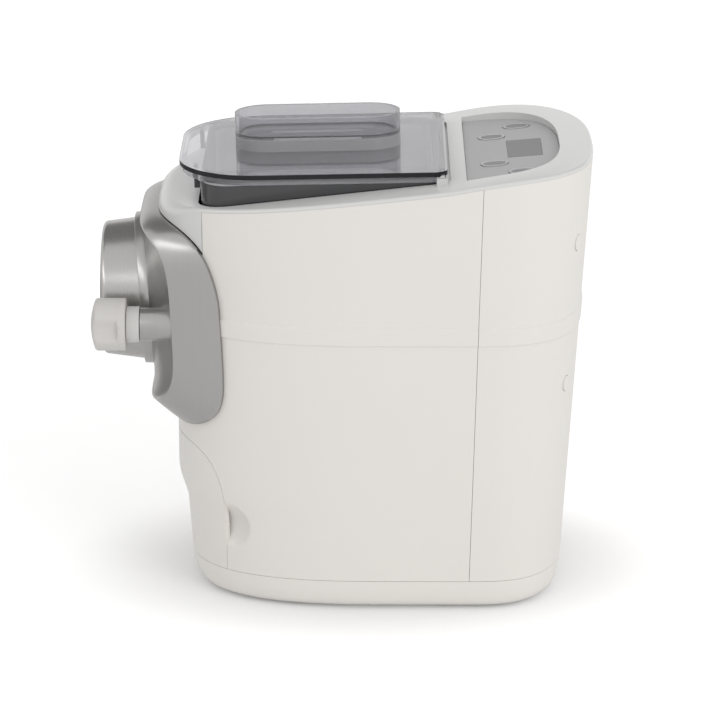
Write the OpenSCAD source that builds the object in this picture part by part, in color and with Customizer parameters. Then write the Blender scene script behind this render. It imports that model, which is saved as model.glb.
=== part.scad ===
// Electric pasta maker: moulded body on a base tray, sloping deck with a clear hinged lid,
// coaxial mixing tub, extruder and gear drive, front panel with die cap and two locking knobs,
// and an accessory drawer. Millimetres, +Z up, front towards -Y, origin on the ground.

/* [Body] */
// Width of the body across the deck
body_w = 202; // [198:1:210]
// Distance from the centre to the front of the body above the drawer's step
body_front = 106.7; // [106:0.1:110]
// How far the deck's nose stands out over the front below it
nose_out = 10.8; // [9:0.2:12]
// Distance from the centre to the rear of the deck
body_rear = 157.3; // [152:0.1:162]
// Height of the deck rim above the front seam of the side panels
rim_front_h = 260; // [258:1:262]
// Rise of the deck rim for each millimetre towards the rear
deck_slope = 0.11; // [0.1:0.005:0.12]
// Narrowing of each side for each millimetre below the deck
side_taper = 0.034; // [0.02:0.002:0.04]
// Lean of the rear for each millimetre below the deck
rear_lean = 0.0634; // [0.04:0.002:0.08]
// Wall thickness of the moulded covers
wall = 2.6; // [2:0.1:3]
// Width of the seams between the covers
seam = 0.4; // [0.3:0.05:0.6]
// Height of the raised band's lower edge
band_z = 177; // [170:1:184]
// Height of the raised band
band_h = 12; // [8:1:16]
// How far the raised band stands proud
band_proud = 0.8; // [0.5:0.1:1.2]

/* [Base] */
// Height of the base tray's upper edge
base_h = 20; // [18:1:24]
// Clearance between the base tray and the ground
foot_h = 1.6; // [1:0.2:3]
// Radius of a rubber foot
foot_r = 9; // [7:0.5:11]

/* [Lid] */
// Thickness of the clear lid plate
lid_t = 3; // [2.5:0.5:4]
// Height of the lid plate's underside above the front of the rim
lid_rise = 20.5; // [19:0.1:22]
// Slope of the lid and the tub's rim down to the front in degrees
lid_slope = 1.2; // [0:0.1:2]
// Depth of the skirt under the lid's edge
lid_skirt = 3.8; // [3:0.2:4]
// Length of the oval filling upstand
spout_l = 104.5; // [90:0.5:110]
// Width of the oval filling upstand
spout_w = 40; // [36:1:56]
// Height of the filling upstand above the lid plate
spout_h = 21.3; // [14:0.1:24]
// Wall of the filling upstand
spout_wall = 2.2; // [2:0.2:3]

/* [Tub] */
// Distance from the side of the body to the tub's rim skirt
tub_margin = 25; // [24:1:27]
// Width of the tub's flat rim
tub_ledge = 14; // [12:1:16]
// Narrowing of the tub from its rim down to the trough
tub_draw = 6; // [5:1:8]
// Wall thickness of the tub
tub_wall = 2.4; // [2:0.2:3]

/* [Extruder] */
// Inner radius of the extruder tube
barrel_r = 23; // [21:1:25]
// Pitch of the extruder screw
screw_pitch = 22; // [18:1:26]
// Radius of the extruder screw's core
core_r = 9; // [8:0.5:11]
// Narrowing of the die cap's radius towards its front
cap_draft = 3.3; // [2:0.1:4]
// Length of the die cap, of which the front panel hides the rear end
cap_l = 29; // [26:0.5:30]
// Rounding of the die cap's front edge
cap_round = 3.5; // [2:0.5:5]
// Number of holes in the shaping disc's outer ring
disc_holes = 12; // [8:1:14]

/* [Knobs] */
// Distance of each locking knob's middle from the front panel's side
knob_inset = 13.4; // [13:0.1:17]
// Diameter of a knob's grip
knob_d = 33; // [30:0.5:33]
// Gap between the knobs' grips and the die cap
knob_gap = 1.5; // [1:0.5:3]
// Length of a knob's grip
knob_l = 22; // [18:0.5:24]
// Radius of the threaded stud
stud_r = 4; // [3:0.5:4]

/* [Drive] */
// Depth of the drive shaft below the front of the rim
drive_drop = 73; // [72:0.5:74]
// Distance of the motor shaft below the drive shaft
motor_drop = 117; // [116:0.5:118]
// Radius of the motor can
motor_r = 34; // [30:1:36]
// Radius of the drive shaft
shaft_r = 6; // [5:0.5:7]
// Teeth on each pinion
pinion_teeth = 14; // [14:1:14]
// Teeth on the first, second and output wheels
wheel_teeth = [56, 44, 42];
// Tooth module of the first, second and output pairs
tooth_module = [1, 1.25, 1.75];

/* [Drawer] */
// Distance of the drawer front's arch below the drive shaft
drawer_drop = 85; // [81:1:86]
// Depth of the drawer tray from front to back
drawer_l = 78; // [70:1:90]

/* [Controls] */
// Height of the control area's front edge above the front of the rim
dish_rise = 14.7; // [14:0.1:16]
// Slope of the control area in degrees
dish_tilt = 5; // [3:0.5:6]
// Thickness of the control overlay
overlay_t = 1.2; // [0.8:0.1:1.4]
// Length of an oval button
button_l = 17; // [14:0.5:18]
// Width of an oval button
button_w = 13; // [10:0.5:14]
// Key travel
button_travel = 0.8; // [0.5:0.1:1]

/* [Hidden] */
$fn = 64;

// Running clearance round a shaft or pin
run_gap = 0.05;
// Gap between pieces that move past each other
move_gap = 0.4;
// Gap under a piece that rests on another one
seat_gap = 0.3;

// ---- Outline of the body -------------------------------------------------------------

seam_front_y = -87;          // front seam of the side panels
seam_rear_y = 79;            // rear seam of the side panels, at the ground
seam_rear_lean = 0.026;      // the rear seam leans back with height
front_mid = 30;              // where the sides start to curve to the front
rear_mid = 80;               // where the sides start to curve to the rear
front_power = [3, 2.7];      // roundness of the front half, across and along
rear_power = 2.85;           // roundness of the rear half
flat_span = 10;              // angle units given to the straight stretch between them
crest_y = [54, 74, 142];     // the deck starts to rise faster, starts to level out, is level
crest_rise = 0.08;           // slope gained before it levels out
lip_z = 77;                  // lower edge of the proud part of the drawer front
lip_run = 26;                // height over which the front steps back
lip_back = 5.9;              // depth of that step
lip_lean = 0.075;            // lean of the front below the step
nose_run = [70, 10];         // the nose comes out between these depths below the rim

function ramp(y, from, to) =
    let (d = max(0, min(y, to) - from)) d * d / (2 * (to - from)) + max(0, y - to);
function rim_z(y) =
    rim_front_h + deck_slope * (y - seam_front_y) + crest_rise * ramp(y, crest_y[0], crest_y[1])
        - (deck_slope + crest_rise) * ramp(y, crest_y[1], crest_y[2]);
deck_h = rim_z(body_rear);

// Heights that follow the rim, and widths that follow the body
drive_z = rim_front_h - drive_drop;
motor_z = drive_z - motor_drop;
drawer_top = drive_z - drawer_drop;
lid_z = rim_front_h + lid_rise;
dish_z = rim_front_h + dish_rise;
tub_skirt = body_w / 2 - tub_margin;
tub_top = tub_skirt - tub_ledge;
tub_r = tub_top - tub_draw;
panel_side = 23.6;           // from the side of the body to the front panel's side
panel_top_drop = 13.8;       // from the rim down to the front panel
panel_low_gap = 10.4;        // from the drawer front up to the front panel
panel_half = [body_w / 2 - panel_side, (rim_front_h - panel_top_drop - drawer_top - panel_low_gap) / 2];
panel_z = drawer_top + panel_low_gap + panel_half[1];
panel_power = 6.1;
knob_x = panel_half[0] - knob_inset;
cap_r = knob_x - knob_d / 2 - knob_gap;
cap_bore = cap_r - 6;

function smooth(u) = let (v = max(0, min(1, u))) v * v * (3 - 2 * v);
function half_width(z) = body_w / 2 - (deck_h - z) * side_taper;
function rear_y(z) = body_rear - (deck_h - z) * rear_lean;
function front_y(z) =
    -body_front - nose_out * smooth((z - rim_front_h + nose_run[0]) / (nose_run[0] - nose_run[1]))
        + lip_back * smooth((lip_z - z) / lip_run) + lip_lean * max(0, lip_z - lip_run - z);
function seam_y(z) = seam_rear_y + seam_rear_lean * z;

// Point of the outline at height z: t runs from -90 at the front centre to
// flat_span + 90 at the rear centre, on the +X side.
function outline_pt(t, z, inset = 0) =
    let (a = half_width(z) - inset)
    t < 0
    ? [a * pow(max(0, cos(t)), 2 / front_power[0]),
       front_mid - (front_mid - front_y(z) - inset) * pow(sin(-t), 2 / front_power[1]), z]
    : t <= flat_span
    ? [a, front_mid + (rear_mid - front_mid) * t / flat_span, z]
    : [a * pow(max(0, cos(t - flat_span)), 2 / rear_power),
       rear_mid + (rear_y(z) - rear_mid - inset) * pow(sin(t - flat_span), 2 / rear_power), z];

// Angle at which the outline passes y
function outline_t(y, z) =
    y < front_mid
    ? -asin(pow(min(1, (front_mid - y) / (front_mid - front_y(z))), front_power[1] / 2))
    : y <= rear_mid
    ? flat_span * (y - front_mid) / (rear_mid - front_mid)
    : flat_span + asin(pow(min(1, (y - rear_mid) / (rear_y(z) - rear_mid)), rear_power / 2));

rear_t = flat_span + 90;
function mirror_x(p) = [-p[0], p[1], p[2]];

// Whole ring of the outline, anticlockwise seen from above
function outline_ring(z, inset, steps) =
    let (half = [for (i = [0 : steps]) outline_pt(-90 + (rear_t + 90) * i / steps, z, inset)])
    concat(half, [for (i = [steps - 1 : -1 : 1]) mirror_x(half[i])]);

// Front surface of the body at (x, z)
function body_front_y(x, z, inset = 0) =
    let (u = min(1, abs(x) / (half_width(z) - inset)))
    front_mid - (front_mid - front_y(z) - inset)
        * pow(1 - pow(u, front_power[0]), 1 / front_power[1]);

// Closed shell between a grid of outer points and a grid of inner points. Rows run
// upwards and columns run anticlockwise seen from above. A ring joins its own ends.
module shell_grid(outer, inner, ring = false) {
    rows = len(outer);
    cols = len(outer[0]);
    last = ring ? cols - 1 : cols - 2;
    top = rows - 1;
    function o(i, j) = i * cols + j % cols;
    function q(i, j) = rows * cols + i * cols + j % cols;
    skins = [for (i = [0 : rows - 2], j = [0 : last]) each [
        [o(i, j), o(i + 1, j), o(i + 1, j + 1)], [o(i, j), o(i + 1, j + 1), o(i, j + 1)],
        [q(i, j), q(i + 1, j + 1), q(i + 1, j)], [q(i, j), q(i, j + 1), q(i + 1, j + 1)]]];
    rims = [for (j = [0 : last]) each [
        [o(0, j), o(0, j + 1), q(0, j + 1)], [o(0, j), q(0, j + 1), q(0, j)],
        [o(top, j), q(top, j + 1), o(top, j + 1)], [o(top, j), q(top, j), q(top, j + 1)]]];
    e = cols - 1;
    ends = ring ? [] : [for (i = [0 : rows - 2]) each [
        [o(i + 1, 0), o(i, 0), q(i, 0)], [o(i + 1, 0), q(i, 0), q(i + 1, 0)],
        [o(i, e), o(i + 1, e), q(i + 1, e)], [o(i, e), q(i + 1, e), q(i, e)]]];
    polyhedron(concat([for (r = outer) each r], [for (r = inner) each r]),
        concat(skins, rims, ends), convexity = 6);
}

function proud(z) = z > band_z + 0.3 && z < band_z + band_h - 0.3 ? band_proud : 0;

// ---- Small helpers -------------------------------------------------------------------

module along_y(y0, y1, r, x = 0, z = drive_z) {
    translate([x, y1, z]) rotate([90, 0, 0]) cylinder(r = r, h = y1 - y0);
}

module cone_y(y0, y1, r0, r1, x = 0, z = drive_z) {
    translate([x, y1, z]) rotate([90, 0, 0]) cylinder(r1 = r1, r2 = r0, h = y1 - y0);
}

module box_between(a, b) {
    translate(a) cube(b - a);
}

function arc(c, r, a0, a1, n) =
    [for (i = [0 : n]) c + r * [cos(a0 + (a1 - a0) * i / n), sin(a0 + (a1 - a0) * i / n)]];

// Symmetric plan with round front and rear corners; half widths differ front to rear
function plan(wf, wr, y0, y1, rf, rr, grow = 0) =
    let (right = concat(
        arc([wf - rf, y0 + rf], rf + grow, -90, 0, 9),
        arc([wr - rr, y1 - rr], rr + grow, 0, 90, 5)))
    concat(right, [for (i = [len(right) - 1 : -1 : 0]) [-right[i][0], right[i][1]]]);

module slab(points, z0, z1) {
    translate([0, 0, z0]) linear_extrude(z1 - z0) polygon(points);
}

// Oval with round ends, long side along Y
module oval(x, y, l, w, z0, z1) {
    s = (l - w) / 2;
    for (d = [-s, s]) translate([x, y + d, z0]) cylinder(d = w, h = z1 - z0);
    box_between([x - w / 2, y - s, z0], [x + w / 2, y + s, z1]);
}

// ---- Covers --------------------------------------------------------------------------

tray_steps = 26;

// Edge between drawer front and side panel, seen from the side: upright, then an arch
arch_z = 40;
arch_y = -73.9;
arch_power = 2.65;
function arch_edge_y(z) =
    z < arch_z ? arch_y
    : -body_front + (arch_y + body_front)
        * pow(max(0, 1 - pow((z - arch_z) / (drawer_top - arch_z), arch_power)), 1 / arch_power);

// Outline of the drawer's opening in Y and Z, made smaller by a gap
function arch_outline(gap) =
    let (rise = drawer_top - arch_z - gap, run = arch_y + body_front - gap)
    concat([[-body_w, 0], [arch_y - gap, 0]],
        [for (i = [0 : 18]) let (d = oval_dir(5 * i, arch_power))
            [-body_front + run * d[0], arch_z + rise * d[1]]],
        [[-body_w, drawer_top - gap]]);

// Extrudes a profile given in Y and Z across X
module across_x(points, x0, x1) {
    translate([x0, 0, 0]) rotate([90, 0, 90]) linear_extrude(x1 - x0) polygon(points);
}

// Inner edge of the side panel at the drawer's opening
function opening_x(z) = outline_pt(outline_t(arch_edge_y(z), z), z, wall)[0];

// The drawer tray passes the opening with a gap
tray_z = [26, drawer_top - 8];
tray_half = floor(min(opening_x(tray_z[0]), opening_x(tray_z[1])) - 4 * move_gap);

// Direction in which the outline faces at y, turned from +X
function outline_turn(y, z) =
    let (t = outline_t(y, z), p = outline_pt(t - 0.5, z), q = outline_pt(t + 0.5, z))
    atan2(q[1] - p[1], q[0] - p[0]) - 90;

shoulder_z = drawer_top + 40;
panel_levels = [base_h + seam, 34, 45, 51, 56, 61, 66, 71, 85, 100, 118, 136, shoulder_z,
    band_z, band_z + 0.7, band_z + band_h - 0.7, band_z + band_h, rim_front_h - 55, rim_front_h - 38,
    rim_front_h - 22, rim_front_h - 10];
side_steps = 22;
rim_drop = 2.2;              // the covers end this far below the rim

function side_row(z, inset, steps) =
    let (t1 = outline_t(seam_y(z) - seam, z))
    [for (i = [0 : steps]) outline_pt(-90 + (t1 + 90) * i / steps, z, inset)];

// Top row follows the sloping rim
function side_top_row(inset, steps) =
    let (t1 = outline_t(seam_y(deck_h) - seam, deck_h))
    [for (i = [0 : steps])
        let (t = -90 + (t1 + 90) * i / steps, y = outline_pt(t, deck_h)[1])
        outline_pt(t, rim_z(y) - rim_drop - seam, inset)];

// Scoop behind the drawer's edge, for a finger
scoop_r = 22;
scoop_y = arch_y + 2;
scoop_z = 51.5;
scoop_in = 5.5;

module base_tray() {
    vent_y = [-8 : 12 : 64];
    edge = [[9, foot_h], [4.5, foot_h + 1.2], [1.6, foot_h + 4], [0.4, 11], [0, base_h]];
    floor_z = foot_h + wall;
    outer = [for (e = edge) outline_ring(e[1], e[0], tray_steps)];
    color("white") difference() {
        union() {
            difference() {
                solid_rings(outer);
                solid_rings([
                    outline_ring(floor_z, 9, tray_steps), outline_ring(11, wall + 0.4, tray_steps),
                    outline_ring(base_h + 1, wall, tray_steps)]);
            }
            for (p = foot_places) translate([p[0], p[1], foot_h + 0.4])
                cylinder(r = foot_r + 3, h = pad_z - foot_h - 0.4);
        }
        for (p = foot_places) {
            translate([p[0], p[1], 0]) cylinder(r = foot_r + 0.05, h = foot_h + 1.4);
            translate([p[0], p[1], 0]) cylinder(r = screw_r + run_gap, h = base_h);
        }
        box_between([-200, relief_y[0], -1], [200, relief_y[1], foot_h + 0.9]);
        for (y = vent_y) box_between([-26, y, 0], [26, y + 4, floor_z + 1]);
    }
}

relief_y = [-19, 61];
pad_z = 8;                   // top of the pads over the feet, on which the chassis stands
screw_r = 2.1;
foot_y = [-40, 96];
foot_places = [for (s = [-1, 1], y = foot_y) [s * (tray_half - 5), y]];

// Solid between stacked rings of the outline
module solid_rings(rings) {
    rows = len(rings);
    cols = len(rings[0]);
    function o(i, j) = i * cols + j % cols;
    polyhedron([for (r = rings) each r], concat(
        [for (i = [0 : rows - 2], j = [0 : cols - 1]) each [
            [o(i, j), o(i + 1, j), o(i + 1, j + 1)], [o(i, j), o(i + 1, j + 1), o(i, j + 1)]]],
        [[for (j = [0 : cols - 1]) j]],
        [[for (j = [cols - 1 : -1 : 0]) o(rows - 1, j)]]), convexity = 6);
}

module rubber_feet() {
    color("dimgray") for (p = foot_places) translate([p[0], p[1], 0]) difference() {
        cylinder(r = foot_r, h = foot_h + 1.4);
        translate([0, 0, -1]) cylinder(r = 3.5, h = foot_h + 0.8);
        cylinder(r = screw_r + run_gap, h = 4);
    }
}

module base_screws() {
    color("gray") for (p = foot_places) translate([p[0], p[1], foot_h - 1.2]) {
        cylinder(r = 3.3, h = 1);
        cylinder(r = screw_r, h = pad_z + 3 - foot_h);
    }
}

module side_panel() {
    scoop_at = outline_pt(outline_t(scoop_y, scoop_z), scoop_z);
    turn = outline_turn(scoop_y, scoop_z);
    color("white") difference() {
        union() {
            shell_grid(
                concat([for (z = panel_levels) side_row(z, -proud(z), side_steps)],
                    [side_top_row(0, side_steps)]),
                concat([for (z = panel_levels) side_row(z, wall, side_steps)],
                    [side_top_row(wall, side_steps)]));
            scoop_block = [for (k = [wall - 0.4, scoop_in + 1.8]) [for (z = [scoop_z - 18, scoop_z + 18])
                [for (i = [0 : 4])
                    outline_pt(outline_t(arch_y + seam + 24 * i / 4, z), z, k)]]];
            shell_grid(scoop_block[0], scoop_block[1]);
        }
        across_x(arch_outline(0), 0, body_w);
        box_between([-1, -body_w, 0], [seam / 2, 0, deck_h]);
        box_between([-1, -body_w, shoulder_z], [body_w, seam_front_y, deck_h]);
        translate(scoop_at + (scoop_r - scoop_in) * [cos(turn), sin(turn), 0]) sphere(r = scoop_r);
    }
}

module side_panel_right() side_panel();
module side_panel_left() mirror([1, 0, 0]) side_panel();

rear_steps = 26;
function rear_row(z, inset, top = false) =
    let (t0 = outline_t(seam_y(z), z), half = rear_steps / 2,
        right = [for (i = [0 : half])
            let (t = t0 + (rear_t - t0) * i / half,
                h = top ? rim_z(outline_pt(t, z)[1]) - rim_drop - seam : z)
            outline_pt(t, h, inset)])
    concat(right, [for (i = [half - 1 : -1 : 0]) mirror_x(right[i])]);

gland_r = 7;
plug_r = 5;
plug_t = 3;
plug_x = body_w / 2 - 37;

// Place on the rear of the body at (x, z), with the direction it faces on the +X side
function rear_place(x, z) =
    let (a = half_width(z), b = rear_y(z) - rear_mid, u = abs(x) / a,
        v = pow(1 - pow(u, rear_power), 1 / rear_power))
    [x, rear_mid + b * v, z, atan2(pow(v, rear_power - 1) / b, pow(u, rear_power - 1) / a)];

plug_places = [for (s = [1, -1], d = [25, 117]) rear_place(s * plug_x, rim_front_h - d)];
gland_place = rear_place(-45, 40);

// Puts children at a place on the rear, their Z pointing outwards
module at_rear(p) {
    mirror([p[0] < 0 ? 1 : 0, 0, 0]) translate([abs(p[0]), p[1], p[2]])
        rotate([0, 0, p[3]]) rotate([0, 90, 0]) children();
}

module rear_cover() {
    levels = [base_h + seam, 90, band_z, band_z + 0.7, band_z + band_h - 0.7, band_z + band_h,
        rim_front_h - 20];
    color("white") difference() {
        union() {
            shell_grid(
                concat([for (z = levels) rear_row(z, -proud(z))], [rear_row(deck_h, 0, true)]),
                concat([for (z = levels) rear_row(z, wall)], [rear_row(deck_h, wall, true)]));
            for (p = plug_places) at_rear(p)
                translate([0, 0, -plug_t - 2.4]) cylinder(r = plug_r + 2, h = plug_t + 1.2);
        }
        for (p = plug_places) at_rear(p) translate([0, 0, -plug_t]) cylinder(r = plug_r, h = 2 * plug_t);
        for (p = plug_places) at_rear(p) translate([0, 0, -3 * plug_t]) cylinder(r = 2, h = 4 * plug_t);
        at_rear(gland_place) translate([0, 0, -4 * wall]) cylinder(r = gland_r, h = 6 * wall);
    }
}

module screw_plugs() {
    color("white") for (p = plug_places) at_rear(p)
        translate([0, 0, -plug_t]) cylinder(r = plug_r - 0.05, h = plug_t + 0.5);
}

// ---- Deck ----------------------------------------------------------------------------

nose_r = 9;                  // rounding of the deck's nose
rim_r = 2;                   // rounding of the rim elsewhere
deck_t = 3;
deck_steps = 34;
tub_y = [-86, 58];           // front and back of the tub
hole_gap = 1.6;              // between tub skirt and deck
skirt_y = [-88.5, 60.5];     // front and back of the tub's rim skirt
dish_inset = 20.5;
dish_front = 76.5;

// Top edge of the front panel at x
function panel_top_z(x, grow = 0) =
    let (u = min(1, abs(x) / (panel_half[0] + grow)))
    panel_z + (panel_half[1] + grow) * pow(1 - pow(u, panel_power), 1 / panel_power);

function edge_r(y) = rim_r + (nose_r - rim_r) * smooth((seam_front_y - 1 - y) / 24);

// Angles of the deck's columns, with a close pair where its skirt ends
skirt_end_t = outline_t(seam_front_y - seam, rim_front_h);
deck_angles = concat(
    [for (i = [0 : 11]) -90 + (skirt_end_t + 90) * i / 11],
    [for (i = [0 : deck_steps - 12]) skirt_end_t + 0.05
        + (rear_t - skirt_end_t - 0.05) * i / (deck_steps - 12)]);

// One ring of the deck's skin, a drop below the rim and an inset from the outline
function deck_ring(drop, inset) =
    let (half = [for (t = deck_angles)
        let (y = outline_pt(t, deck_h)[1], r = edge_r(y))
        outline_pt(t, rim_z(y) - r * drop, r * inset)])
    concat(half, [for (i = [len(half) - 2 : -1 : 1]) mirror_x(half[i])]);

// The skirt's columns, which end at the front seam at every height
function front_t(t, z) =
    -90 + (outline_t(seam_front_y - seam, z) + 90) * (t + 90) / (skirt_end_t + 90);
// Height at which a column of the skirt meets the front panel's edge
function skirt_low_z(t, z0 = rim_front_h - 20, tries = 6) =
    tries == 0 ? z0 : skirt_low_z(t, panel_top_z(outline_pt(front_t(t, z0), z0)[0], 0.6), tries - 1);

// A ring of the skirt, which reaches down to the front panel and ends at the front seam;
// a deep ring lies that far below the rim all round
function skirt_ring(part, inset, deep = 0) =
    let (half = [for (t = deck_angles)
        let (p = outline_pt(t, rim_front_h), rim = rim_z(p[1]), more = inset > 0 && part == 0 ? 2 : 0,
            front = t <= skirt_end_t + 0.01,
            low = deep > 0 ? rim - deep : (front ? skirt_low_z(t) : rim - rim_drop - 0.1) - more,
            high = front ? rim - edge_r(p[1]) : rim - rim_drop - 0.01, z = low + (high - low) * part)
        outline_pt(front && deep == 0 ? front_t(t, z) : t, z, inset)])
    concat(half, [for (i = [len(half) - 2 : -1 : 1]) mirror_x(half[i])]);

// Closed solid from rings that end in a crowned cap, which is closed by strips across X
module capped_rings(rings) {
    rows = len(rings);
    cols = len(rings[0]);
    half = cols / 2;
    function o(i, j) = i * cols + (j + cols) % cols;
    cap = [for (j = [0 : half - 1]) each [
        [o(rows - 1, j), o(rows - 1, -j - 1), o(rows - 1, j + 1)],
        [o(rows - 1, j), o(rows - 1, -j), o(rows - 1, -j - 1)]]];
    bottom = [for (j = [0 : half - 1]) each [
        [o(0, j), o(0, j + 1), o(0, -j - 1)], [o(0, j), o(0, -j - 1), o(0, -j)]]];
    function real(f) = [for (t = f) if (t[0] != t[1] && t[1] != t[2] && t[0] != t[2]) t];
    polyhedron([for (r = rings) each r], concat(
        [for (i = [0 : rows - 2], j = [0 : cols - 1]) each [
            [o(i, j), o(i + 1, j), o(i + 1, j + 1)], [o(i, j), o(i + 1, j + 1), o(i, j + 1)]]],
        real(cap), real(bottom)), convexity = 8);
}

round_profile = [[1, 0], [0.62, 0.07], [0.29, 0.29], [0.07, 0.62], [0, 1]];

module deck_body(shift, inset, deep = 0) {
    capped_rings(concat(
        [skirt_ring(0, inset, deep), skirt_ring(0.5, inset, deep)],
        [for (p = round_profile) [for (q = deck_ring(p[0], p[1] + inset / rim_r)) q - [0, 0, shift]]]));
}

hinge_y = 61;
hinge_z = lid_z;
pin_r = 1.8;
ear_x = [tub_skirt + 2.2, tub_skirt + 7.4];
knuckle_x = ear_x[0] - 12.2;

// The lid, its seal and the tub's rim slope about the hinge
module lid_lean() {
    translate([0, hinge_y, hinge_z]) rotate([lid_slope, 0, 0]) translate([0, -hinge_y, -hinge_z])
        children();
}

// The control area slopes about its front edge
module tilted() {
    translate([0, dish_front, dish_z]) rotate([dish_tilt, 0, 0]) translate([0, -dish_front, -dish_z])
        children();
}

module top_deck() {
    color("whitesmoke") difference() {
        union() {
            difference() {
                deck_body(0, 0);
                deck_body(deck_t, deck_t);
            }
            intersection() {
                tilted() slab(overlay_plan(-deck_t), dish_z - deck_t, deck_h);
                deck_body(0.2, 0.4, 14);
            }
            tilted() for (p = board_posts) translate([p[0], p[1], board_z])
                cylinder(r = 3, h = dish_z - board_z - 1);
            hinge_ears();
            switch_bracket();
        }
        tilted() slab(overlay_plan(0), dish_z, deck_h + 5);
        slab(plan(tub_skirt + hole_gap, tub_skirt + hole_gap, skirt_y[0] - hole_gap, hinge_y + 5.4,
            20, 6), 200, deck_h + 5);
        tilted() for (b = button_places)
            oval(b[0], b[1], button_l + 5 * move_gap, button_w + 5 * move_gap, dish_z - 20, deck_h);
        tilted() box_between([-19, display_y - 10, dish_z - 20], [19, display_y + 10, deck_h]);
        translate([plunger_at[0], plunger_at[1], 200]) cylinder(r = plunger_r + run_gap, h = 100);
    }
}

// Guide for the interlock plunger, and the shelf under the deck that holds the switch
module switch_bracket() {
    x = plunger_at[0];
    y = plunger_at[1];
    translate([x, y, flange_z + 3]) cylinder(r = 4, h = 5);
    box_between([x - 6, y - 8, switch_z[0] - 2], [x - 4, y + 8, flange_z + 8]);
    box_between([x - 5, y - 8, switch_z[0] - 2], [x + 4, y + 8, switch_z[0]]);
}

module hinge_ears() {
    for (s = [-1, 1]) difference() {
        union() {
            translate([s > 0 ? ear_x[0] : -ear_x[1], hinge_y, hinge_z]) rotate([0, 90, 0])
                cylinder(r = 3.4, h = ear_x[1] - ear_x[0]);
            box_between([s > 0 ? ear_x[0] : -ear_x[1], hinge_y - 3.4, rim_z(hinge_y) - 2.4],
                [s > 0 ? ear_x[1] : -ear_x[0], hinge_y + 3.4, hinge_z]);
        }
        translate([s * knuckle_x, hinge_y, hinge_z]) rotate([0, s * 90, 0]) cylinder(r = pin_r, h = 16);
    }
}

// ---- Front ---------------------------------------------------------------------------

crease_in = [2.4, 9.7];       // from the panel's outline in to the crease round its front face
crease_half = panel_half - crease_in;
crease_z = panel_z + 4.7;
crease_power = 4.9;
crease_y = -body_front - 19.4; // front of the crease at the height of the drive shaft
crease_curve = 18.3;         // it curves back by this much to its sides
crease_lean = 0.051;         // and leans back towards its bottom
face_y = crease_y - 4.1;     // front of the raised ring round the die cap, at the same height
face_curve = 2.4;
face_lean = 0.06;
panel_t = 2;
panel_gap = 1;               // between the panel's edge and the covers under it
edge_t = 1.2;                // thickness of the panel at its edge
panel_steps = 60;

function oval_dir(a, power) =
    [sign(cos(a)) * pow(abs(cos(a)), 2 / power), sign(sin(a)) * pow(abs(sin(a)), 2 / power)];
function panel_edge_pt(a, lift) =
    let (d = oval_dir(a, panel_power),
        x = (panel_half[0] + lift) * d[0], z = panel_z + panel_half[1] * d[1])
    [x, body_front_y(x, z, -lift), z];
function face_at(x, z) =
    face_y + face_curve * pow(x / collar_r, 2) + face_lean * (drive_z - z);
function crease_pt(a, back) =
    let (d = oval_dir(a, crease_power), x = crease_half[0] * d[0], z = crease_z + crease_half[1] * d[1])
    [x, crease_y + crease_curve * pow(abs(d[0]), 4.6) + crease_lean * (drive_z - z) + back, z];
// Flare from the edge to the crease, bulging a little outwards
function flare_pt(a, u, back) =
    let (e = panel_edge_pt(a, back > 0 ? panel_gap : panel_gap + edge_t),
        c = crease_pt(a, back), m = e + (c - e) * u,
        out = [e[0] - c[0], 0, e[2] - c[2]], k = 0.16 * 4 * u * (1 - u) * (0.6 + 0.4 * sin(a)))
    m + out * k - [0, 6 * k, 0];

// Raised ring of the face round the die cap, and the dish between it and the crease
collar_r = cap_r + 0.6;
collar_wall = 2;
dish_deep = 5.6;             // from the ring's front back to the dish
function collar_pt(a, r, back) =
    let (x = r * cos(a), z = drive_z + r * sin(a)) [x, face_at(x, z) + back, z];

// Rings of the panel's skin, from its edge over the crease and the dish to the ring's bore
function panel_ring(k, back) =
    [for (i = [0 : panel_steps - 1])
        let (a = 360 * i / panel_steps, foot = collar_pt(a, collar_r + collar_wall, dish_deep + back))
        k < 5 ? flare_pt(a, k / 4, back)
        : k < 6 ? crease_pt(a, back) * 0.9 + foot * 0.1 + [0, 1.2, 0]
        : k < 7 ? (back > 0 ? foot - [0, 0.4, 0] : foot)
        : k < 8 ? collar_pt(a, collar_r + collar_wall - (back > 0 ? 1 : 0.4),
            back > 0 ? back + dish_deep - 0.5 : 0)
        : collar_pt(a, collar_r, back > 0 ? back + dish_deep : 0)];

module front_panel() {
    color("silver") difference() {
        union() {
            shell_grid([for (k = [0 : 8]) panel_ring(k, 0)], [for (k = [0 : 8]) panel_ring(k, panel_t)],
                ring = true);
            for (s = [-1, 1]) along_y(boss_y, boss_back, boss_r, s * knob_x, knob_z);
        }
        for (s = [-1, 1]) along_y(boss_y - 1, boss_back + 1, stud_r + move_gap, s * knob_x, knob_z);
    }
}

knob_z = panel_z + 2.2;
boss_r = 10.5;
boss_y = crease_y - 1;
boss_back = -body_front + 0.7;
sleeve_r = 6.5;
sleeve_y = [boss_back + 1, seam_front_y - 1];
frame_gap = 1.2;

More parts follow.
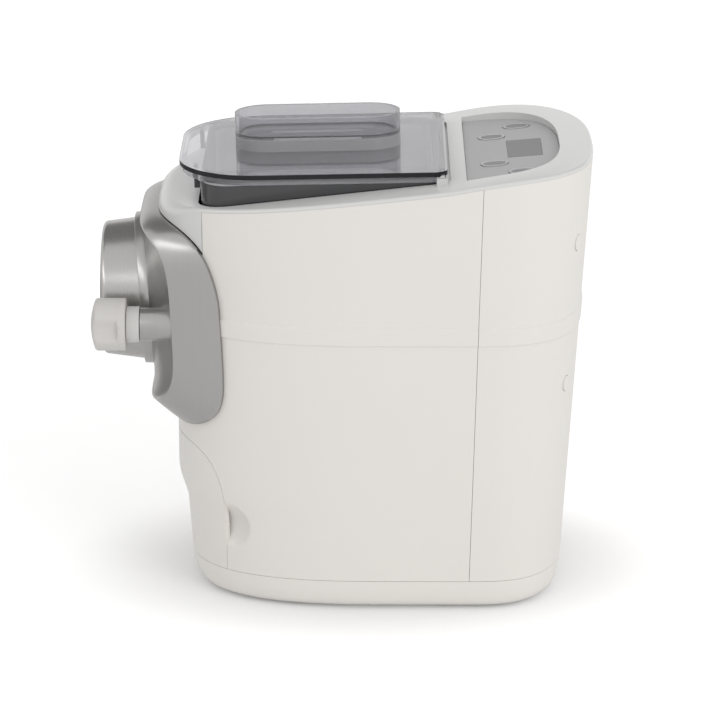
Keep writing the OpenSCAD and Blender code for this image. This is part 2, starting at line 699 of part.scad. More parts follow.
module front_frame() {
    half = panel_half - [6, 5];
    hub_y = [-body_front + 1, -body_front + 12];
    function ring(k, inset) = [for (i = [0 : panel_steps - 1])
        let (a = 360 * i / panel_steps, d = oval_dir(a, panel_power),
            x = k * half[0] * d[0] + (1 - k) * cap_bore * cos(a),
            z = k * (panel_z + half[1] * d[1]) + (1 - k) * (drive_z + cap_bore * sin(a)))
        [x, body_front_y(x, z, inset), z]];
    parts = [1, 0.75, 0.5, 0.25, 0];
    color("gainsboro") difference() {
        union() {
            shell_grid([for (k = parts) ring(k, wall + frame_gap)],
                [for (k = parts) ring(k, 2 * wall + frame_gap)], ring = true);
            along_y(hub_y[0], hub_y[1], cap_bore + 4);
            for (s = [-1, 1]) along_y(sleeve_y[0], sleeve_y[1], sleeve_r + 2.5, s * knob_x, knob_z);
        }
        along_y(-body_w, 0, cap_bore - run_gap);
        for (s = [-1, 1]) along_y(-body_w, 0, sleeve_r, s * knob_x, knob_z);
        box_between([-body_w, seam_front_y - 1, 0], [body_w, 0, deck_h]);
    }
}

module knob_sleeves() {
    color("goldenrod") for (s = [-1, 1]) difference() {
        along_y(sleeve_y[0], sleeve_y[1], sleeve_r, s * knob_x, knob_z);
        along_y(sleeve_y[0] - 1, sleeve_y[1] + 1, stud_r + run_gap, s * knob_x, knob_z);
    }
}

thrust_l = 8.2;              // length of the thrust collar behind a knob's grip

module knob_collar(s) {
    color("gainsboro") difference() {
        along_y(boss_y - seat_gap - thrust_l, boss_y - seat_gap, boss_r + 0.8, s * knob_x, knob_z);
        along_y(boss_y - 20, boss_y + 5, stud_r + run_gap, s * knob_x, knob_z);
    }
}

module knob_collar_right() knob_collar(1);
module knob_collar_left() knob_collar(-1);

grip_y = boss_y - seat_gap - thrust_l - seat_gap;

module locking_knob(s) {
    front = grip_y - knob_l;
    color("white") union() {
        difference() {
            intersection() {
                along_y(front, grip_y, knob_d / 2, s * knob_x, knob_z);
                translate([s * knob_x, front + 44, knob_z]) sphere(r = 44);
            }
            for (d = [-1, 1]) along_y(front - 1, front + knob_l - 5, 13,
                s * knob_x + d * (knob_d / 2 + 9.6), knob_z);
        }
        along_y(grip_y - 3, sleeve_y[1] - 2, stud_r, s * knob_x, knob_z);
    }
}

module locking_knob_right() locking_knob(1);
module locking_knob_left() locking_knob(-1);

// ---- Extruder ------------------------------------------------------------------------

cap_back = face_y + 5.5;
cap_front = cap_back - cap_l;
cap_front_r = cap_r - cap_draft;
lip_t = 3.6;                 // depth of the die cap's front lip
disc_t = 8;
tube_front = cap_front + lip_t + disc_t + 0.1;
head_back = -body_front + 8.7;

module die_cap() {
    profile = concat([[cap_bore, cap_back], [cap_r, cap_back]],
        arc([cap_front_r - cap_round, cap_front + cap_round], cap_round, 0, -90, 6),
        [[cap_bore - 6.5, cap_front], [cap_bore - 9, cap_front + lip_t], [cap_bore, cap_front + lip_t]]);
    color("silver") translate([0, 0, drive_z]) rotate([-90, 0, 0]) rotate_extrude() polygon(profile);
}

module shaping_disc() {
    y = [cap_front + lip_t, cap_front + lip_t + disc_t];
    color("white") difference() {
        along_y(y[0], y[1], cap_bore - 1.5);
        for (i = [0 : disc_holes - 1]) rotate_y(360 * i / disc_holes) along_y(y[0] - 1, y[1] + 1, 2.6, 20);
        for (i = [0 : disc_holes / 2 - 1]) rotate_y(720 * i / disc_holes)
            along_y(y[0] - 1, y[1] + 1, 2.6, 11);
        along_y(y[1] - 4, y[1] + 1, 4.05);
    }
}

module rotate_y(a) {
    translate([0, 0, drive_z]) rotate([0, a, 0]) translate([0, 0, -drive_z]) children();
}

module extruder_tube() {
    color("white") difference() {
        union() {
            along_y(tube_front, head_back, cap_bore - run_gap);
            cone_y(head_back, head_back + 7, cap_bore - run_gap, barrel_r + 3);
            along_y(head_back, tub_y[0] - 0.2, barrel_r + 3);
        }
        along_y(tube_front - 1, 0, barrel_r);
        cone_y(tube_front - 0.1, tube_front + 12, cap_bore - 10, barrel_r);
    }
}

flight_gap = 0.5;
screw_y = [tube_front + 0.5, -52];

// Helical flight of the extruder screw: a tapered blade swept round the core
module flight(y0, y1, r0, r1, start) {
    per_turn = 24;
    steps = ceil((y1 - y0) / screw_pitch * per_turn);
    function ring(i) =
        let (a = start + 360 * i / per_turn, y = y0 + screw_pitch * i / per_turn)
        [for (p = [[r0, 0], [r1, 1.6], [r1, 3.4], [r0, 5]])
            [p[0] * cos(a), y + p[1], drive_z + p[0] * sin(a)]];
    points = [for (i = [0 : steps]) each ring(i)];
    sides = [for (i = [0 : steps - 1], k = [0 : 3])
        let (a = 4 * i + k, b = 4 * i + (k + 1) % 4) each [[a, b + 4, b], [a, a + 4, b + 4]]];
    polyhedron(points, concat(sides, [[0, 1, 2, 3]], [[for (k = [3 : -1 : 0]) 4 * steps + k]]));
}

module extruder_screw() {
    color("whitesmoke") difference() {
        union() {
            along_y(screw_y[0], screw_y[1], core_r);
            flight(screw_y[0] + 4, screw_y[1] - 10, core_r - 1, barrel_r - flight_gap, 30);
            along_y(screw_y[0] - 3.8, screw_y[0], 4);
        }
        along_y(screw_y[1] - 24, screw_y[1] + 1, shaft_r);
    }
}

// ---- Tub -----------------------------------------------------------------------------

// Trough profile in X and Z: an arc below, straight sides up to the rim
function trough(r, top_x, top_z) =
    let (d = sqrt(pow(top_x, 2) + pow(top_z - drive_z, 2)),
        a = atan2(top_z - drive_z, top_x) - acos(r / d))
    concat([for (i = [0 : 20]) let (b = a - (180 + 2 * a) * i / 20) [r * cos(b), drive_z + r * sin(b)]],
        [[-top_x, top_z], [top_x, top_z]]);

rim_top = lid_z - lid_skirt - 0.2;
rim_t = 2.6;
skirt_low = rim_front_h - 12;

module trough_between(r, top_x, y0, y1) {
    translate([0, y1, 0]) rotate([90, 0, 0]) linear_extrude(y1 - y0) polygon(trough(r, top_x, rim_top));
}

module mixing_tub() {
    color([0.25, 0.25, 0.27]) difference() {
        union() {
            intersection() {
                trough_between(tub_r + tub_wall, tub_top + tub_wall, tub_y[0], tub_y[1]);
                slab(plan(tub_skirt, tub_skirt, tub_y[0], tub_y[1], 12, 8), 100, rim_top);
            }
            lid_lean() difference() {
                slab(plan(tub_skirt, tub_skirt, skirt_y[0], skirt_y[1], 18, 5), skirt_low, rim_top);
                slab(plan(tub_skirt - tub_wall, tub_skirt - tub_wall, skirt_y[0] + tub_wall,
                    skirt_y[1] - tub_wall, 16, 4), skirt_low - 1, rim_top - rim_t);
            }
            along_y(head_back + 7.4, tub_y[0] + 1, barrel_r + 6);
            along_y(tub_y[1] - 1, tub_y[1] + 3.6, 15);
        }
        lid_lean() box_between([-body_w, -body_w, rim_top], [body_w, hinge_y, deck_h]);
        intersection() {
            translate([0, 0, 0.5]) trough_between(tub_r, tub_top, tub_y[0] + tub_wall, tub_y[1] - tub_wall);
            slab(plan(tub_top, tub_top, tub_y[0] + tub_wall, tub_y[1] - tub_wall, 10, 6), 100, rim_top + 1);
        }
        along_y(-100, tub_y[0] + 5, barrel_r);
        along_y(-100, tub_y[0] - 0.1, barrel_r + 3.05);
        along_y(tub_y[1] - 8, tub_y[1] + 6, seal_r);
    }
}

seal_r = 11;

module tub_shaft_seal() {
    color("darkslategray") difference() {
        union() {
            along_y(tub_y[1] - tub_wall - 1, tub_y[1] + 3.6, seal_r);
            along_y(tub_y[1] - tub_wall - 1.5, tub_y[1] - tub_wall, seal_r + 2);
        }
        along_y(40, 80, shaft_r + run_gap);
    }
}

module mixing_paddle() {
    hub_y = [screw_y[1], tub_y[1] - tub_wall - 2.2];
    arms = [[-40, 20], [-8, 140], [26, 260]];
    color("gainsboro") difference() {
        union() {
            along_y(hub_y[0], hub_y[1], core_r + 1);
            for (a = arms) rotate_y(a[1]) {
                translate([0, a[0], drive_z]) cylinder(r = 4, h = tub_r - 6);
                translate([0, a[0] - 3, drive_z + tub_r - 12])
                    rotate([0, 0, 24]) box_between([-3, -14, 0], [3, 17, 8]);
            }
        }
        along_y(hub_y[0] - 1, hub_y[1] + 1, shaft_r);
    }
}

// ---- Gear train ----------------------------------------------------------------------

pressure = 20;
addendum = 0.8;
dedendum = 1.05;
backlash = 0.16;
gear_y = [[74, 82], [84, 93], [95, 106]];

function pitch_r(teeth, stage) = teeth * tooth_module[stage] / 2;
function inv_deg(a) = tan(a) * 180 / PI - a;

// Outline of a spur gear with involute flanks
function gear_outline(teeth, stage, phase) =
    let (m = tooth_module[stage], rp = pitch_r(teeth, stage), rb = rp * cos(pressure),
        ra = rp + addendum * m, rf = rp - dedendum * m, r0 = max(rb, rf) + 0.01,
        radii = concat(rb > rf ? [rf] : [], [for (k = [0 : 3]) r0 + (ra - r0) * k / 3]),
        half = [for (r = radii)
            90 / teeth + inv_deg(pressure) - inv_deg(acos(min(1, rb / max(r, rb))))
                - backlash / rp * 45 / PI * 2])
    [for (i = [0 : teeth - 1]) each
        let (c = phase + 360 * i / teeth)
        concat([for (k = [0 : len(radii) - 1]) radii[k] * [cos(c - half[k]), sin(c - half[k])]],
            [for (k = [len(radii) - 1 : -1 : 0]) radii[k] * [cos(c + half[k]), sin(c + half[k])]])];

module gear(teeth, stage, phase, place, y) {
    translate([place[0], y[1], place[1]]) rotate([90, 0, 0]) linear_extrude(y[1] - y[0])
        polygon(gear_outline(teeth, stage, phase));
}

// Phase that puts the second gear in mesh with the first, whose centre it sees along angle a
function mesh_phase(phase, teeth, next, a) = a + 180 + (a - phase) * teeth / next - 180 / next;
function heading(p, q) = atan2(q[1] - p[1], q[0] - p[0]);
function centre_distance(stage) = pitch_r(pinion_teeth, stage) + pitch_r(wheel_teeth[stage], stage);

motor_at = [0, motor_z];
drive_at = [0, drive_z];
first_x = 8;
first_at = [first_x, motor_z + sqrt(pow(centre_distance(0), 2) - first_x * first_x)];
// The second pin lies where the circles about its two neighbours cross
second_at =
    let (d = drive_at - first_at, l = norm(d), r1 = centre_distance(1), r2 = centre_distance(2),
        k = (l * l + r1 * r1 - r2 * r2) / (2 * l), h = sqrt(r1 * r1 - k * k))
    first_at + d * k / l + [-d[1], d[0]] * h / l;

motor_phase = 0;
first_phase = mesh_phase(motor_phase, pinion_teeth, wheel_teeth[0], heading(motor_at, first_at));
second_phase = mesh_phase(first_phase, pinion_teeth, wheel_teeth[1], heading(first_at, second_at));
output_phase = mesh_phase(second_phase, pinion_teeth, wheel_teeth[2], heading(second_at, drive_at));

pin_shaft_r = 3.5;
box_y = [66, 70, 110, 114];   // faces of the gearbox cover and case

module lightened(place, y, r, holes, hole_r) {
    for (i = [0 : holes - 1]) translate([place[0], 0, place[1]]) rotate([0, 360 * i / holes, 0])
        along_y(y[0] - 1, y[1] + 1, hole_r, r, 0);
}

module output_gear() {
    color("ivory") difference() {
        union() {
            gear(wheel_teeth[2], 2, output_phase, drive_at, gear_y[2]);
            along_y(gear_y[2][0] - 3, gear_y[2][1] + 2, 12);
        }
        along_y(80, 120, shaft_r);
        lightened(drive_at, gear_y[2], 23, 6, 7);
    }
}

module double_gear(stage, place, phase) {
    y0 = gear_y[stage][0];
    y1 = gear_y[stage + 1][1];
    color("ivory") difference() {
        union() {
            gear(wheel_teeth[stage], stage, phase, place, gear_y[stage]);
            gear(pinion_teeth, stage + 1, phase, place, [gear_y[stage][1] - 0.5, y1]);
            along_y(y0 - 2, y0 + 1, 6.5, place[0], place[1]);
        }
        along_y(60, 120, pin_shaft_r + run_gap, place[0], place[1]);
        lightened(place, gear_y[stage], 18.5, 6, 4.5);
    }
}

module second_gear() double_gear(1, second_at, second_phase);
module first_gear() double_gear(0, first_at, first_phase);

module gear_pins() {
    color("silver") for (p = [first_at, second_at])
        along_y(box_y[0] + 1, box_y[3] - 1, pin_shaft_r, p[0], p[1]);
}

module motor_pinion() {
    color("goldenrod") difference() {
        gear(pinion_teeth, 0, motor_phase, motor_at, gear_y[0]);
        along_y(60, 90, motor_shaft_r, 0, motor_z);
    }
}

module drive_shaft() {
    color("silver") along_y(screw_y[1] - 23, box_y[3] - 1, shaft_r);
}

box_circles = [[motor_at, 20], [first_at, 35], [second_at, 34], [drive_at, 44]];

module box_plan(grow) {
    hull() for (c = box_circles) translate(c[0]) circle(r = c[1] + grow);
}

module box_plate(y0, y1, grow) {
    translate([0, y1, 0]) rotate([90, 0, 0]) linear_extrude(y1 - y0) box_plan(grow);
}

box_screws = [[-29.5, motor_z + 12], [37, motor_z + 14], [-34, drive_z + 37], [34, drive_z + 37]];

module box_ears(y0, y1, r) {
    for (p = box_screws) along_y(y0, y1, r, p[0], p[1]);
}

module gearbox_case() {
    color("lightgray") difference() {
        union() {
            box_plate(box_y[1], box_y[3], 3);
            box_ears(box_y[1], box_y[1] + 12, 6);
            for (p = power_posts) along_y(box_y[3] - 1, power_y, 3, p[0], p[1]);
        }
        box_plate(box_y[1] - 1, box_y[2], 0);
        box_ears(box_y[1] - 1, box_y[1] + 10, 1.6);
        along_y(100, 120, bush_r, 0, drive_z);
        for (p = [first_at, second_at]) along_y(100, box_y[3] - 1, pin_shaft_r, p[0], p[1]);
    }
}

bush_r = 9;

module gearbox_cover() {
    color("lightgray") difference() {
        union() {
            box_plate(box_y[0], box_y[1], 3);
            box_ears(box_y[0], box_y[1], 6);
        }
        along_y(60, 80, bush_r, 0, drive_z);
        along_y(60, 80, 8, 0, motor_z);
        for (p = [first_at, second_at]) along_y(box_y[0] + 1, 80, pin_shaft_r, p[0], p[1]);
        box_ears(60, 80, 2.1);
    }
}

module shaft_bushes() {
    color("peru") for (y = [[box_y[0], box_y[1] + 2], [box_y[2] - 2, box_y[3]]]) difference() {
        along_y(y[0], y[1], bush_r);
        along_y(y[0] - 1, y[1] + 1, shaft_r + run_gap);
    }
}

module gearbox_screws() {
    color("gray") for (p = box_screws) {
        along_y(63, box_y[1] + 9, 1.6, p[0], p[1]);
        along_y(bulkhead_y[0] - 2.2, bulkhead_y[0], 3.4, p[0], p[1]);
    }
}

// ---- Motor ---------------------------------------------------------------------------

motor_y = [0, 60];
motor_shaft_r = 2.5;
bulkhead_y = [63, 66];

module motor_can() {
    color("dimgray") difference() {
        along_y(motor_y[0], motor_y[1], motor_r, 0, motor_z);
        along_y(motor_y[0] - 1, motor_y[1] + 1, 12, 0, motor_z);
    }
}

module motor_end_plates() {
    color("silver") {
        difference() {
            union() {
                along_y(motor_y[1], bulkhead_y[0], motor_r - 7, 0, motor_z);
                along_y(motor_y[1] - 2, bulkhead_y[0] + 2, 8, 0, motor_z);
            }
            along_y(50, 70, motor_shaft_r + run_gap, 0, motor_z);
        }
        difference() {
            along_y(motor_y[0] - 4, motor_y[0], motor_r, 0, motor_z);
            along_y(-10, 10, motor_shaft_r + run_gap, 0, motor_z);
            for (i = [0 : 5]) translate([0, 0, motor_z]) rotate([0, 60 * i, 0])
                along_y(-10, 10, 6, 21, 0);
        }
    }
}

fan_y = [-13, -6];

module motor_shaft() {
    color("silver") union() {
        along_y(fan_y[0], gear_y[0][1] + 1, motor_shaft_r, 0, motor_z);
        along_y(motor_y[0] + 8, motor_y[1] - 8, 11.4, 0, motor_z);
    }
}

module cooling_fan() {
    blades = 9;
    color("darkslategray") difference() {
        union() {
            along_y(fan_y[1] - 1.2, fan_y[1], 30, 0, motor_z);
            translate([0, fan_y[1] - 1, motor_z]) rotate([90, 0, 0])
                linear_extrude(fan_y[1] - 1 - fan_y[0]) {
                circle(r = 9);
                for (i = [0 : blades - 1]) rotate(10 + 360 * i / blades)
                    translate([8, -0.8]) square([21, 1.6]);
            }
        }
        along_y(-20, 0, motor_shaft_r, 0, motor_z);
    }
}

module motor_saddle() {
    color("gray") difference() {
        union() {
            for (y = [8, 44]) box_between([-34, y, base_floor], [34, y + 8, motor_z - 14]);
            for (x = [-34, 28]) box_between([x, 8, base_floor], [x + 6, 52, base_floor + 4]);
        }
        along_y(0, 60, motor_r + 0.05, 0, motor_z);
    }
}

// ---- Chassis -------------------------------------------------------------------------

shelf_z = drive_z - 74;
leg_x = [tray_half + 3, tray_half + 5.5];
leg_front = -58;
tray_front = -body_front + 13.7;
tray_back = tray_front + drawer_l;
runner_z = [tray_z[0] - 4, tray_z[0] - seat_gap];

// Box on the -X or +X side, between two distances from the centre plane
module side_box(s, x, y, z) {
    mirror([s < 0 ? 1 : 0, 0, 0]) box_between([x[0], y[0], z[0]], [x[1], y[1], z[1]]);
}

module chassis() {
    rib_y = [[leg_front, leg_front + 3], [32, 35]];
    color("lightgray") difference() {
        union() {
            box_between([-leg_x[1], leg_front, shelf_z], [leg_x[1], bulkhead_y[1], shelf_z + 3]);
            for (s = [-1, 1]) {
                side_box(s, leg_x, [leg_front, bulkhead_y[1]], [pad_z, shelf_z + 1]);
                for (y = foot_y) side_box(s, [tray_half - 11, leg_x[1]], [y - 6, y + 6], [pad_z, pad_z + 3]);
                side_box(s, [leg_x[0], leg_x[1]], [bulkhead_y[0], foot_y[1] + 6], [pad_z, pad_z + 12]);
                side_box(s, [tray_half - 2.5, leg_x[0] + 1], [leg_front, tray_back + 10], runner_z);
            }
            for (r = rib_y) box_between([-leg_x[0], r[0], shelf_z], [leg_x[0], r[1], drive_z - 19]);
            box_between([-leg_x[1], bulkhead_y[0], pad_z], [leg_x[1], bulkhead_y[1], drive_z + 53]);
        }
        for (p = foot_places) translate([p[0], p[1], 0]) cylinder(r = screw_r, h = 20);
        along_y(-80, 60, tub_r + tub_wall + seat_gap);
        along_y(60, 70, 16);
        along_y(60, 70, 8.1, 0, motor_z);
        box_ears(60, 70, 2.1);
    }
}

base_floor = foot_h + wall;

// ---- Lid -----------------------------------------------------------------------------

lid_y = [-103, 64.5];
lid_half = [body_w / 2 - 24, body_w / 2 - 23.5];
lid_corner = [50, 8];
spout_y = -16.3;
spout_floor = lid_z + 9.5;

function lid_plan(shrink) =
    plan(lid_half[0], lid_half[1], lid_y[0], lid_y[1], lid_corner[0], lid_corner[1], -shrink);

module lid() {
    top = lid_z + lid_t;
    inner_w = spout_w - 2 * spout_wall;
    inner_l = spout_l - 2 * spout_wall;
    color([0.55, 0.57, 0.6, 0.5]) lid_lean() difference() {
        union() {
            slab(lid_plan(0), lid_z, top);
            difference() {
                slab(lid_plan(1.6), lid_z - lid_skirt, lid_z + 0.5);
                slab(lid_plan(3.6), lid_z - lid_skirt - 1, lid_z);
                box_between([5 - ear_x[0], hinge_y - 3, lid_z - lid_skirt - 1],
                    [ear_x[0] - 5, 80, lid_z - 1.2]);
            }
            oval(0, spout_y, spout_l, spout_w, lid_z, top + spout_h);
            translate([0, plunger_at[1], 0]) box_between(
                [plunger_at[0] - 3, -4, lid_z - lid_skirt], [3 - lid_half[0], 4, lid_z + 0.5]);
            for (s = [-1, 1]) translate([s * knuckle_x, hinge_y, hinge_z]) rotate([0, s * 90, 0])
                cylinder(r = 3.4, h = ear_x[0] - knuckle_x - 0.6);
        }
        oval(0, spout_y, inner_l, inner_w, spout_floor + 2, top + spout_h + 1);
        oval(0, spout_y, inner_l, inner_w, lid_z - 1, spout_floor);
        oval(0, spout_y, 58, 7, spout_floor - 1, spout_floor + 3);
        for (s = [-1, 1]) {
            translate([s * (knuckle_x - 6), hinge_y, hinge_z]) rotate([0, s * 90, 0])
                cylinder(r = pin_r + run_gap, h = 30);
            side_box(s, [ear_x[0] - 0.6, body_w / 2], [hinge_y - 4.6, 80], [lid_z - 11, lid_z + 9]);
        }
    }
}

module lid_hinge_pins() {
    color("silver") for (s = [-1, 1]) translate([s * knuckle_x, hinge_y, hinge_z]) rotate([0, s * 90, 0])
        cylinder(r = pin_r, h = ear_x[1] - knuckle_x - 1.6);
}

seal_half = tub_skirt - 9;
function seal_plan(grow) = plan(seal_half, seal_half, skirt_y[0] + 1, skirt_y[1] - 1, 16, 9, grow);

module lid_seal() {
    color("whitesmoke") lid_lean() difference() {
        slab(seal_plan(0), rim_top + seat_gap, lid_z);
        slab(seal_plan(-3.8), rim_top - 1, lid_z + 1);
    }
}

module lid_latch_tabs() {
    low = lid_z - 11.4;
    color("dimgray") lid_lean() for (s = [-1, 1]) translate([s * (lid_half[0] - 32), lid_y[0] + 10, 0]) {
        box_between([-4, 0, low], [4, 2.4, lid_z]);
        box_between([-4, 0, low], [4, 3.4, low + 2.2]);
    }
}

plunger_at = [-tub_skirt - 7.1, 38];
plunger_r = 1.5;
flange_z = rim_front_h + 4;
switch_z = [flange_z - 14, flange_z - 4.8];

module interlock_plunger() {
    color("dimgray") translate([plunger_at[0], plunger_at[1], 0]) union() {
        translate([0, 0, flange_z - 2]) cylinder(r = plunger_r, h = rim_top - 0.7 - flange_z + 2);
        translate([0, 0, flange_z]) cylinder(r = 3, h = 1.5);
    }
}

module interlock_spring() {
    color("silver") translate([plunger_at[0], plunger_at[1], 0]) difference() {
        translate([0, 0, switch_z[1]]) cylinder(r = 2.8, h = flange_z - switch_z[1]);
        translate([0, 0, switch_z[1] - 1]) cylinder(r = 2, h = flange_z - switch_z[1] + 2);
    }
}

module interlock_switch() {
    color("black") box_between([plunger_at[0] - 4, plunger_at[1] - 8, switch_z[0]],
        [plunger_at[0] + 4, plunger_at[1] + 8, switch_z[1]]);
}

// ---- Controls ------------------------------------------------------------------------

button_places = [[-57, 111.4], [-33.5, 94.7], [33.5, 94.7], [57, 111.4]];
display_y = 114.6;
display_half = [21.4, 11];
overlay_z = dish_z + overlay_t;
board_z = dish_z - 10.6;
board_half = body_w / 2 - 29;
board_posts = [[-board_half + 6, 90], [board_half - 6, 90], [-30, 128], [30, 128]];

function overlay_plan(gap) =
    let (half = [for (i = [0 : 16])
        let (t = outline_t(dish_front, deck_h) + (rear_t - outline_t(dish_front, deck_h)) * i / 16,
            p = outline_pt(t, deck_h, dish_inset + gap))
        [p[0], max(p[1], dish_front + gap)]])
    concat(half, [for (i = [15 : -1 : 0]) [-half[i][0], half[i][1]]]);

module control_overlay() {
    color("lightgray") tilted() difference() {
        slab(overlay_plan(0.3), dish_z, overlay_z);
        for (b = button_places)
            oval(b[0], b[1], button_l + 2 * move_gap, button_w + 2 * move_gap, dish_z - 1, overlay_z + 1);
        box_between([-display_half[0], display_y - display_half[1], dish_z - 1],
            [display_half[0], display_y + display_half[1], overlay_z + 1]);
    }
}

module display_window() {
    color([0.3, 0.32, 0.34]) tilted() box_between(
        [-display_half[0] + 0.1, display_y - display_half[1] + 0.1, dish_z],
        [display_half[0] - 0.1, display_y + display_half[1] - 0.1, overlay_z + 0.1]);
}

module display_module() {
    color("darkgreen") tilted()
        box_between([-18.5, display_y - 9.5, board_z], [18.5, display_y + 9.5, dish_z]);
}

module button(i) {
    b = button_places[i];
    color("gainsboro") tilted() union() {
        oval(b[0], b[1], button_l, button_w, dish_z - deck_t - 1.9, overlay_z + 0.5);
        oval(b[0], b[1], button_l + 10 * move_gap, button_w + 10 * move_gap,
            dish_z - deck_t - 1.9, dish_z - deck_t - move_gap);
        translate([b[0], b[1], board_z + mat_t + button_travel + 0.1]) cylinder(r = 3, h = 3.5);
    }
}

module button_1() button(0);
module button_2() button(1);
module button_3() button(2);
module button_4() button(3);

mat_t = 2.2;

module key_mat() {
    color("white") tilted() for (b = button_places) translate([b[0], b[1], board_z])
        cylinder(r = 5, h = mat_t);
}

module control_board() {
    color("green") tilted() slab(plan(board_half, board_half - 6, 84, 133, 4, 12), board_z - 1.6, board_z);
}

power_y = 121;
power_posts = [[-34, drive_z - 45], [40, drive_z - 37], [-30, drive_z + 23], [30, drive_z + 23]];

module power_board() {
    color("green") box_between([-46, power_y, drive_z - 59], [46, power_y + 1.6, drive_z + 35]);
    color("black") {
        along_y(power_y + 1.6, power_y + 12, 7, -20, drive_z - 27);
        box_between([4, power_y + 1.6, drive_z - 41], [30, power_y + 10, drive_z - 11]);
    }
}

module cord_gland() {
    inner = -wall - 3.6;
    color("dimgray") at_rear(gland_place) difference() {
        union() {
            translate([0, 0, inner]) cylinder(r = gland_r - 0.05, h = 4.5 - inner);
            translate([0, 0, 1]) cylinder(r = gland_r + 2, h = 2.6);
            translate([0, 0, inner]) cylinder(r = gland_r + 2, h = 2);
        }
        translate([0, 0, inner - 1]) cylinder(r = 3.6, h = 12);
    }
}

// ---- Drawer --------------------------------------------------------------------------

module drawer_front() {
    levels = [base_h + seam, 34, 45, 51, 56, 61, 66, 71, 85, drawer_top + 2];
    end = outline_t(arch_y + 8, drawer_top);
    function row(z, inset) =
        let (right = [for (i = [0 : 16]) outline_pt(-90 + (end + 90) * i / 16, z, inset)])
        concat([for (i = [16 : -1 : 1]) mirror_x(right[i])], right);
    color("white") union() {
        intersection() {
            shell_grid([for (z = levels) row(z, 0)], [for (z = levels) row(z, wall)]);
            across_x(arch_outline(seam), -body_w, body_w);
        }
        for (x = [-18, 18]) box_between([x - 6, tray_front - 4, 30], [x + 6, tray_front, 44]);
    }
}

module drawer_tray() {
    function tray_plan(grow) = plan(tray_half, tray_half, tray_front, tray_back, 40, 3, grow);
    color("gainsboro") difference() {
        slab(tray_plan(0), tray_z[0], tray_z[1]);
        slab(tray_plan(-2), tray_z[0] + 2, tray_z[1] + 1);
    }
}

base_tray();
rubber_feet();
side_panel_right();
side_panel_left();
rear_cover();
top_deck();
front_frame();
front_panel();
die_cap();
shaping_disc();
extruder_tube();
extruder_screw();
mixing_paddle();
mixing_tub();
tub_shaft_seal();
drive_shaft();
output_gear();
second_gear();
first_gear();
gear_pins();
motor_pinion();
gearbox_case();
gearbox_cover();
shaft_bushes();
gearbox_screws();
motor_can();
motor_end_plates();
motor_shaft();
cooling_fan();
motor_saddle();
chassis();
lid();
lid_seal();
lid_hinge_pins();
lid_latch_tabs();
interlock_plunger();
interlock_spring();
interlock_switch();
control_overlay();
display_window();
display_module();
button_1();
button_2();
button_3();
button_4();
key_mat();
control_board();
power_board();
locking_knob_right();
locking_knob_left();
knob_collar_right();
knob_collar_left();
knob_sleeves();
drawer_front();
drawer_tray();
cord_gland();
screw_plugs();
base_screws();
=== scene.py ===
import math

import bmesh
import bpy
import numpy as np
from mathutils import Matrix, Vector


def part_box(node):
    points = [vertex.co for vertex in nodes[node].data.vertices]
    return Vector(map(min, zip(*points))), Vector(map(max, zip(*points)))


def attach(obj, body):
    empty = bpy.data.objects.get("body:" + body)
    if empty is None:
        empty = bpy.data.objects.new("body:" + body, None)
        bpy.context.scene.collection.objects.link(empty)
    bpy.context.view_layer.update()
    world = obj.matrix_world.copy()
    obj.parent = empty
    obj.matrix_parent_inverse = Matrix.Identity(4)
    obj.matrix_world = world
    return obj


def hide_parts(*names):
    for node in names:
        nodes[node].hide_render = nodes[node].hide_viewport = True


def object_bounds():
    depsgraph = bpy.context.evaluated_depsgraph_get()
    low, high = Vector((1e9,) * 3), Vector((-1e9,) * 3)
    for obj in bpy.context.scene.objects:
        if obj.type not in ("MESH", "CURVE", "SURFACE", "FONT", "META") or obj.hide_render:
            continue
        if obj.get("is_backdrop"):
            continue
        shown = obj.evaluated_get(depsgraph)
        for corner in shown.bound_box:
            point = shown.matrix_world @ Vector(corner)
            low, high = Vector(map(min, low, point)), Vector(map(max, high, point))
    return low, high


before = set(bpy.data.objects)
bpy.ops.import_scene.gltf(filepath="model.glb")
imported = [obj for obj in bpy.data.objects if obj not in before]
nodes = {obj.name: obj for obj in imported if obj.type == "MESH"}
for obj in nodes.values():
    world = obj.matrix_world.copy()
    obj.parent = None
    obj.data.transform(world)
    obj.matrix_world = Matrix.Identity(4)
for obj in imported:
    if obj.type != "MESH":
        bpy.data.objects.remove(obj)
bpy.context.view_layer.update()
scene = bpy.context.scene

# ---- Camera --------------------------------------------------------------------------
# A long lens at the machine's right side, a little above its lid, so that upright edges stay
# almost parallel and the near side fills most of the frame.
turn, rise = math.radians(90.2), math.radians(17.6)
aim = Vector((0, 0.0102, 0.1379))
DISTANCE = 2.452
away = Vector((math.sin(turn) * math.cos(rise), -math.cos(turn) * math.cos(rise), math.sin(rise)))
camera_data = bpy.data.cameras.new("camera")
camera_data.sensor_width = 36
camera_data.lens = 190
camera_data.clip_end = 20
camera = bpy.data.objects.new("camera", camera_data)
camera.location = aim + DISTANCE * away
camera.rotation_euler = away.to_track_quat("Z", "Y").to_euler()
scene.collection.objects.link(camera)
scene.camera = camera

# ---- Base tray -----------------------------------------------------------------------
# The tray that everything stands on, injection moulded in warm white plastic. Its lower edge
# is rounded, its underside has a shallow relief and vents, and the covers clip on above it.
def node_of(tree, kind, values=None, **settings):
    """A node with its settings; each value is a number or the output that feeds the socket."""
    node = tree.nodes.new(kind)
    for setting, value in settings.items():
        setattr(node, setting, value)
    for socket, value in (values or {}).items():
        for item in value if isinstance(value, list) else [value]:
            if isinstance(item, bpy.types.NodeSocket):
                tree.links.new(item, node.inputs[socket])
            else:
                node.inputs[socket].default_value = item
    return node


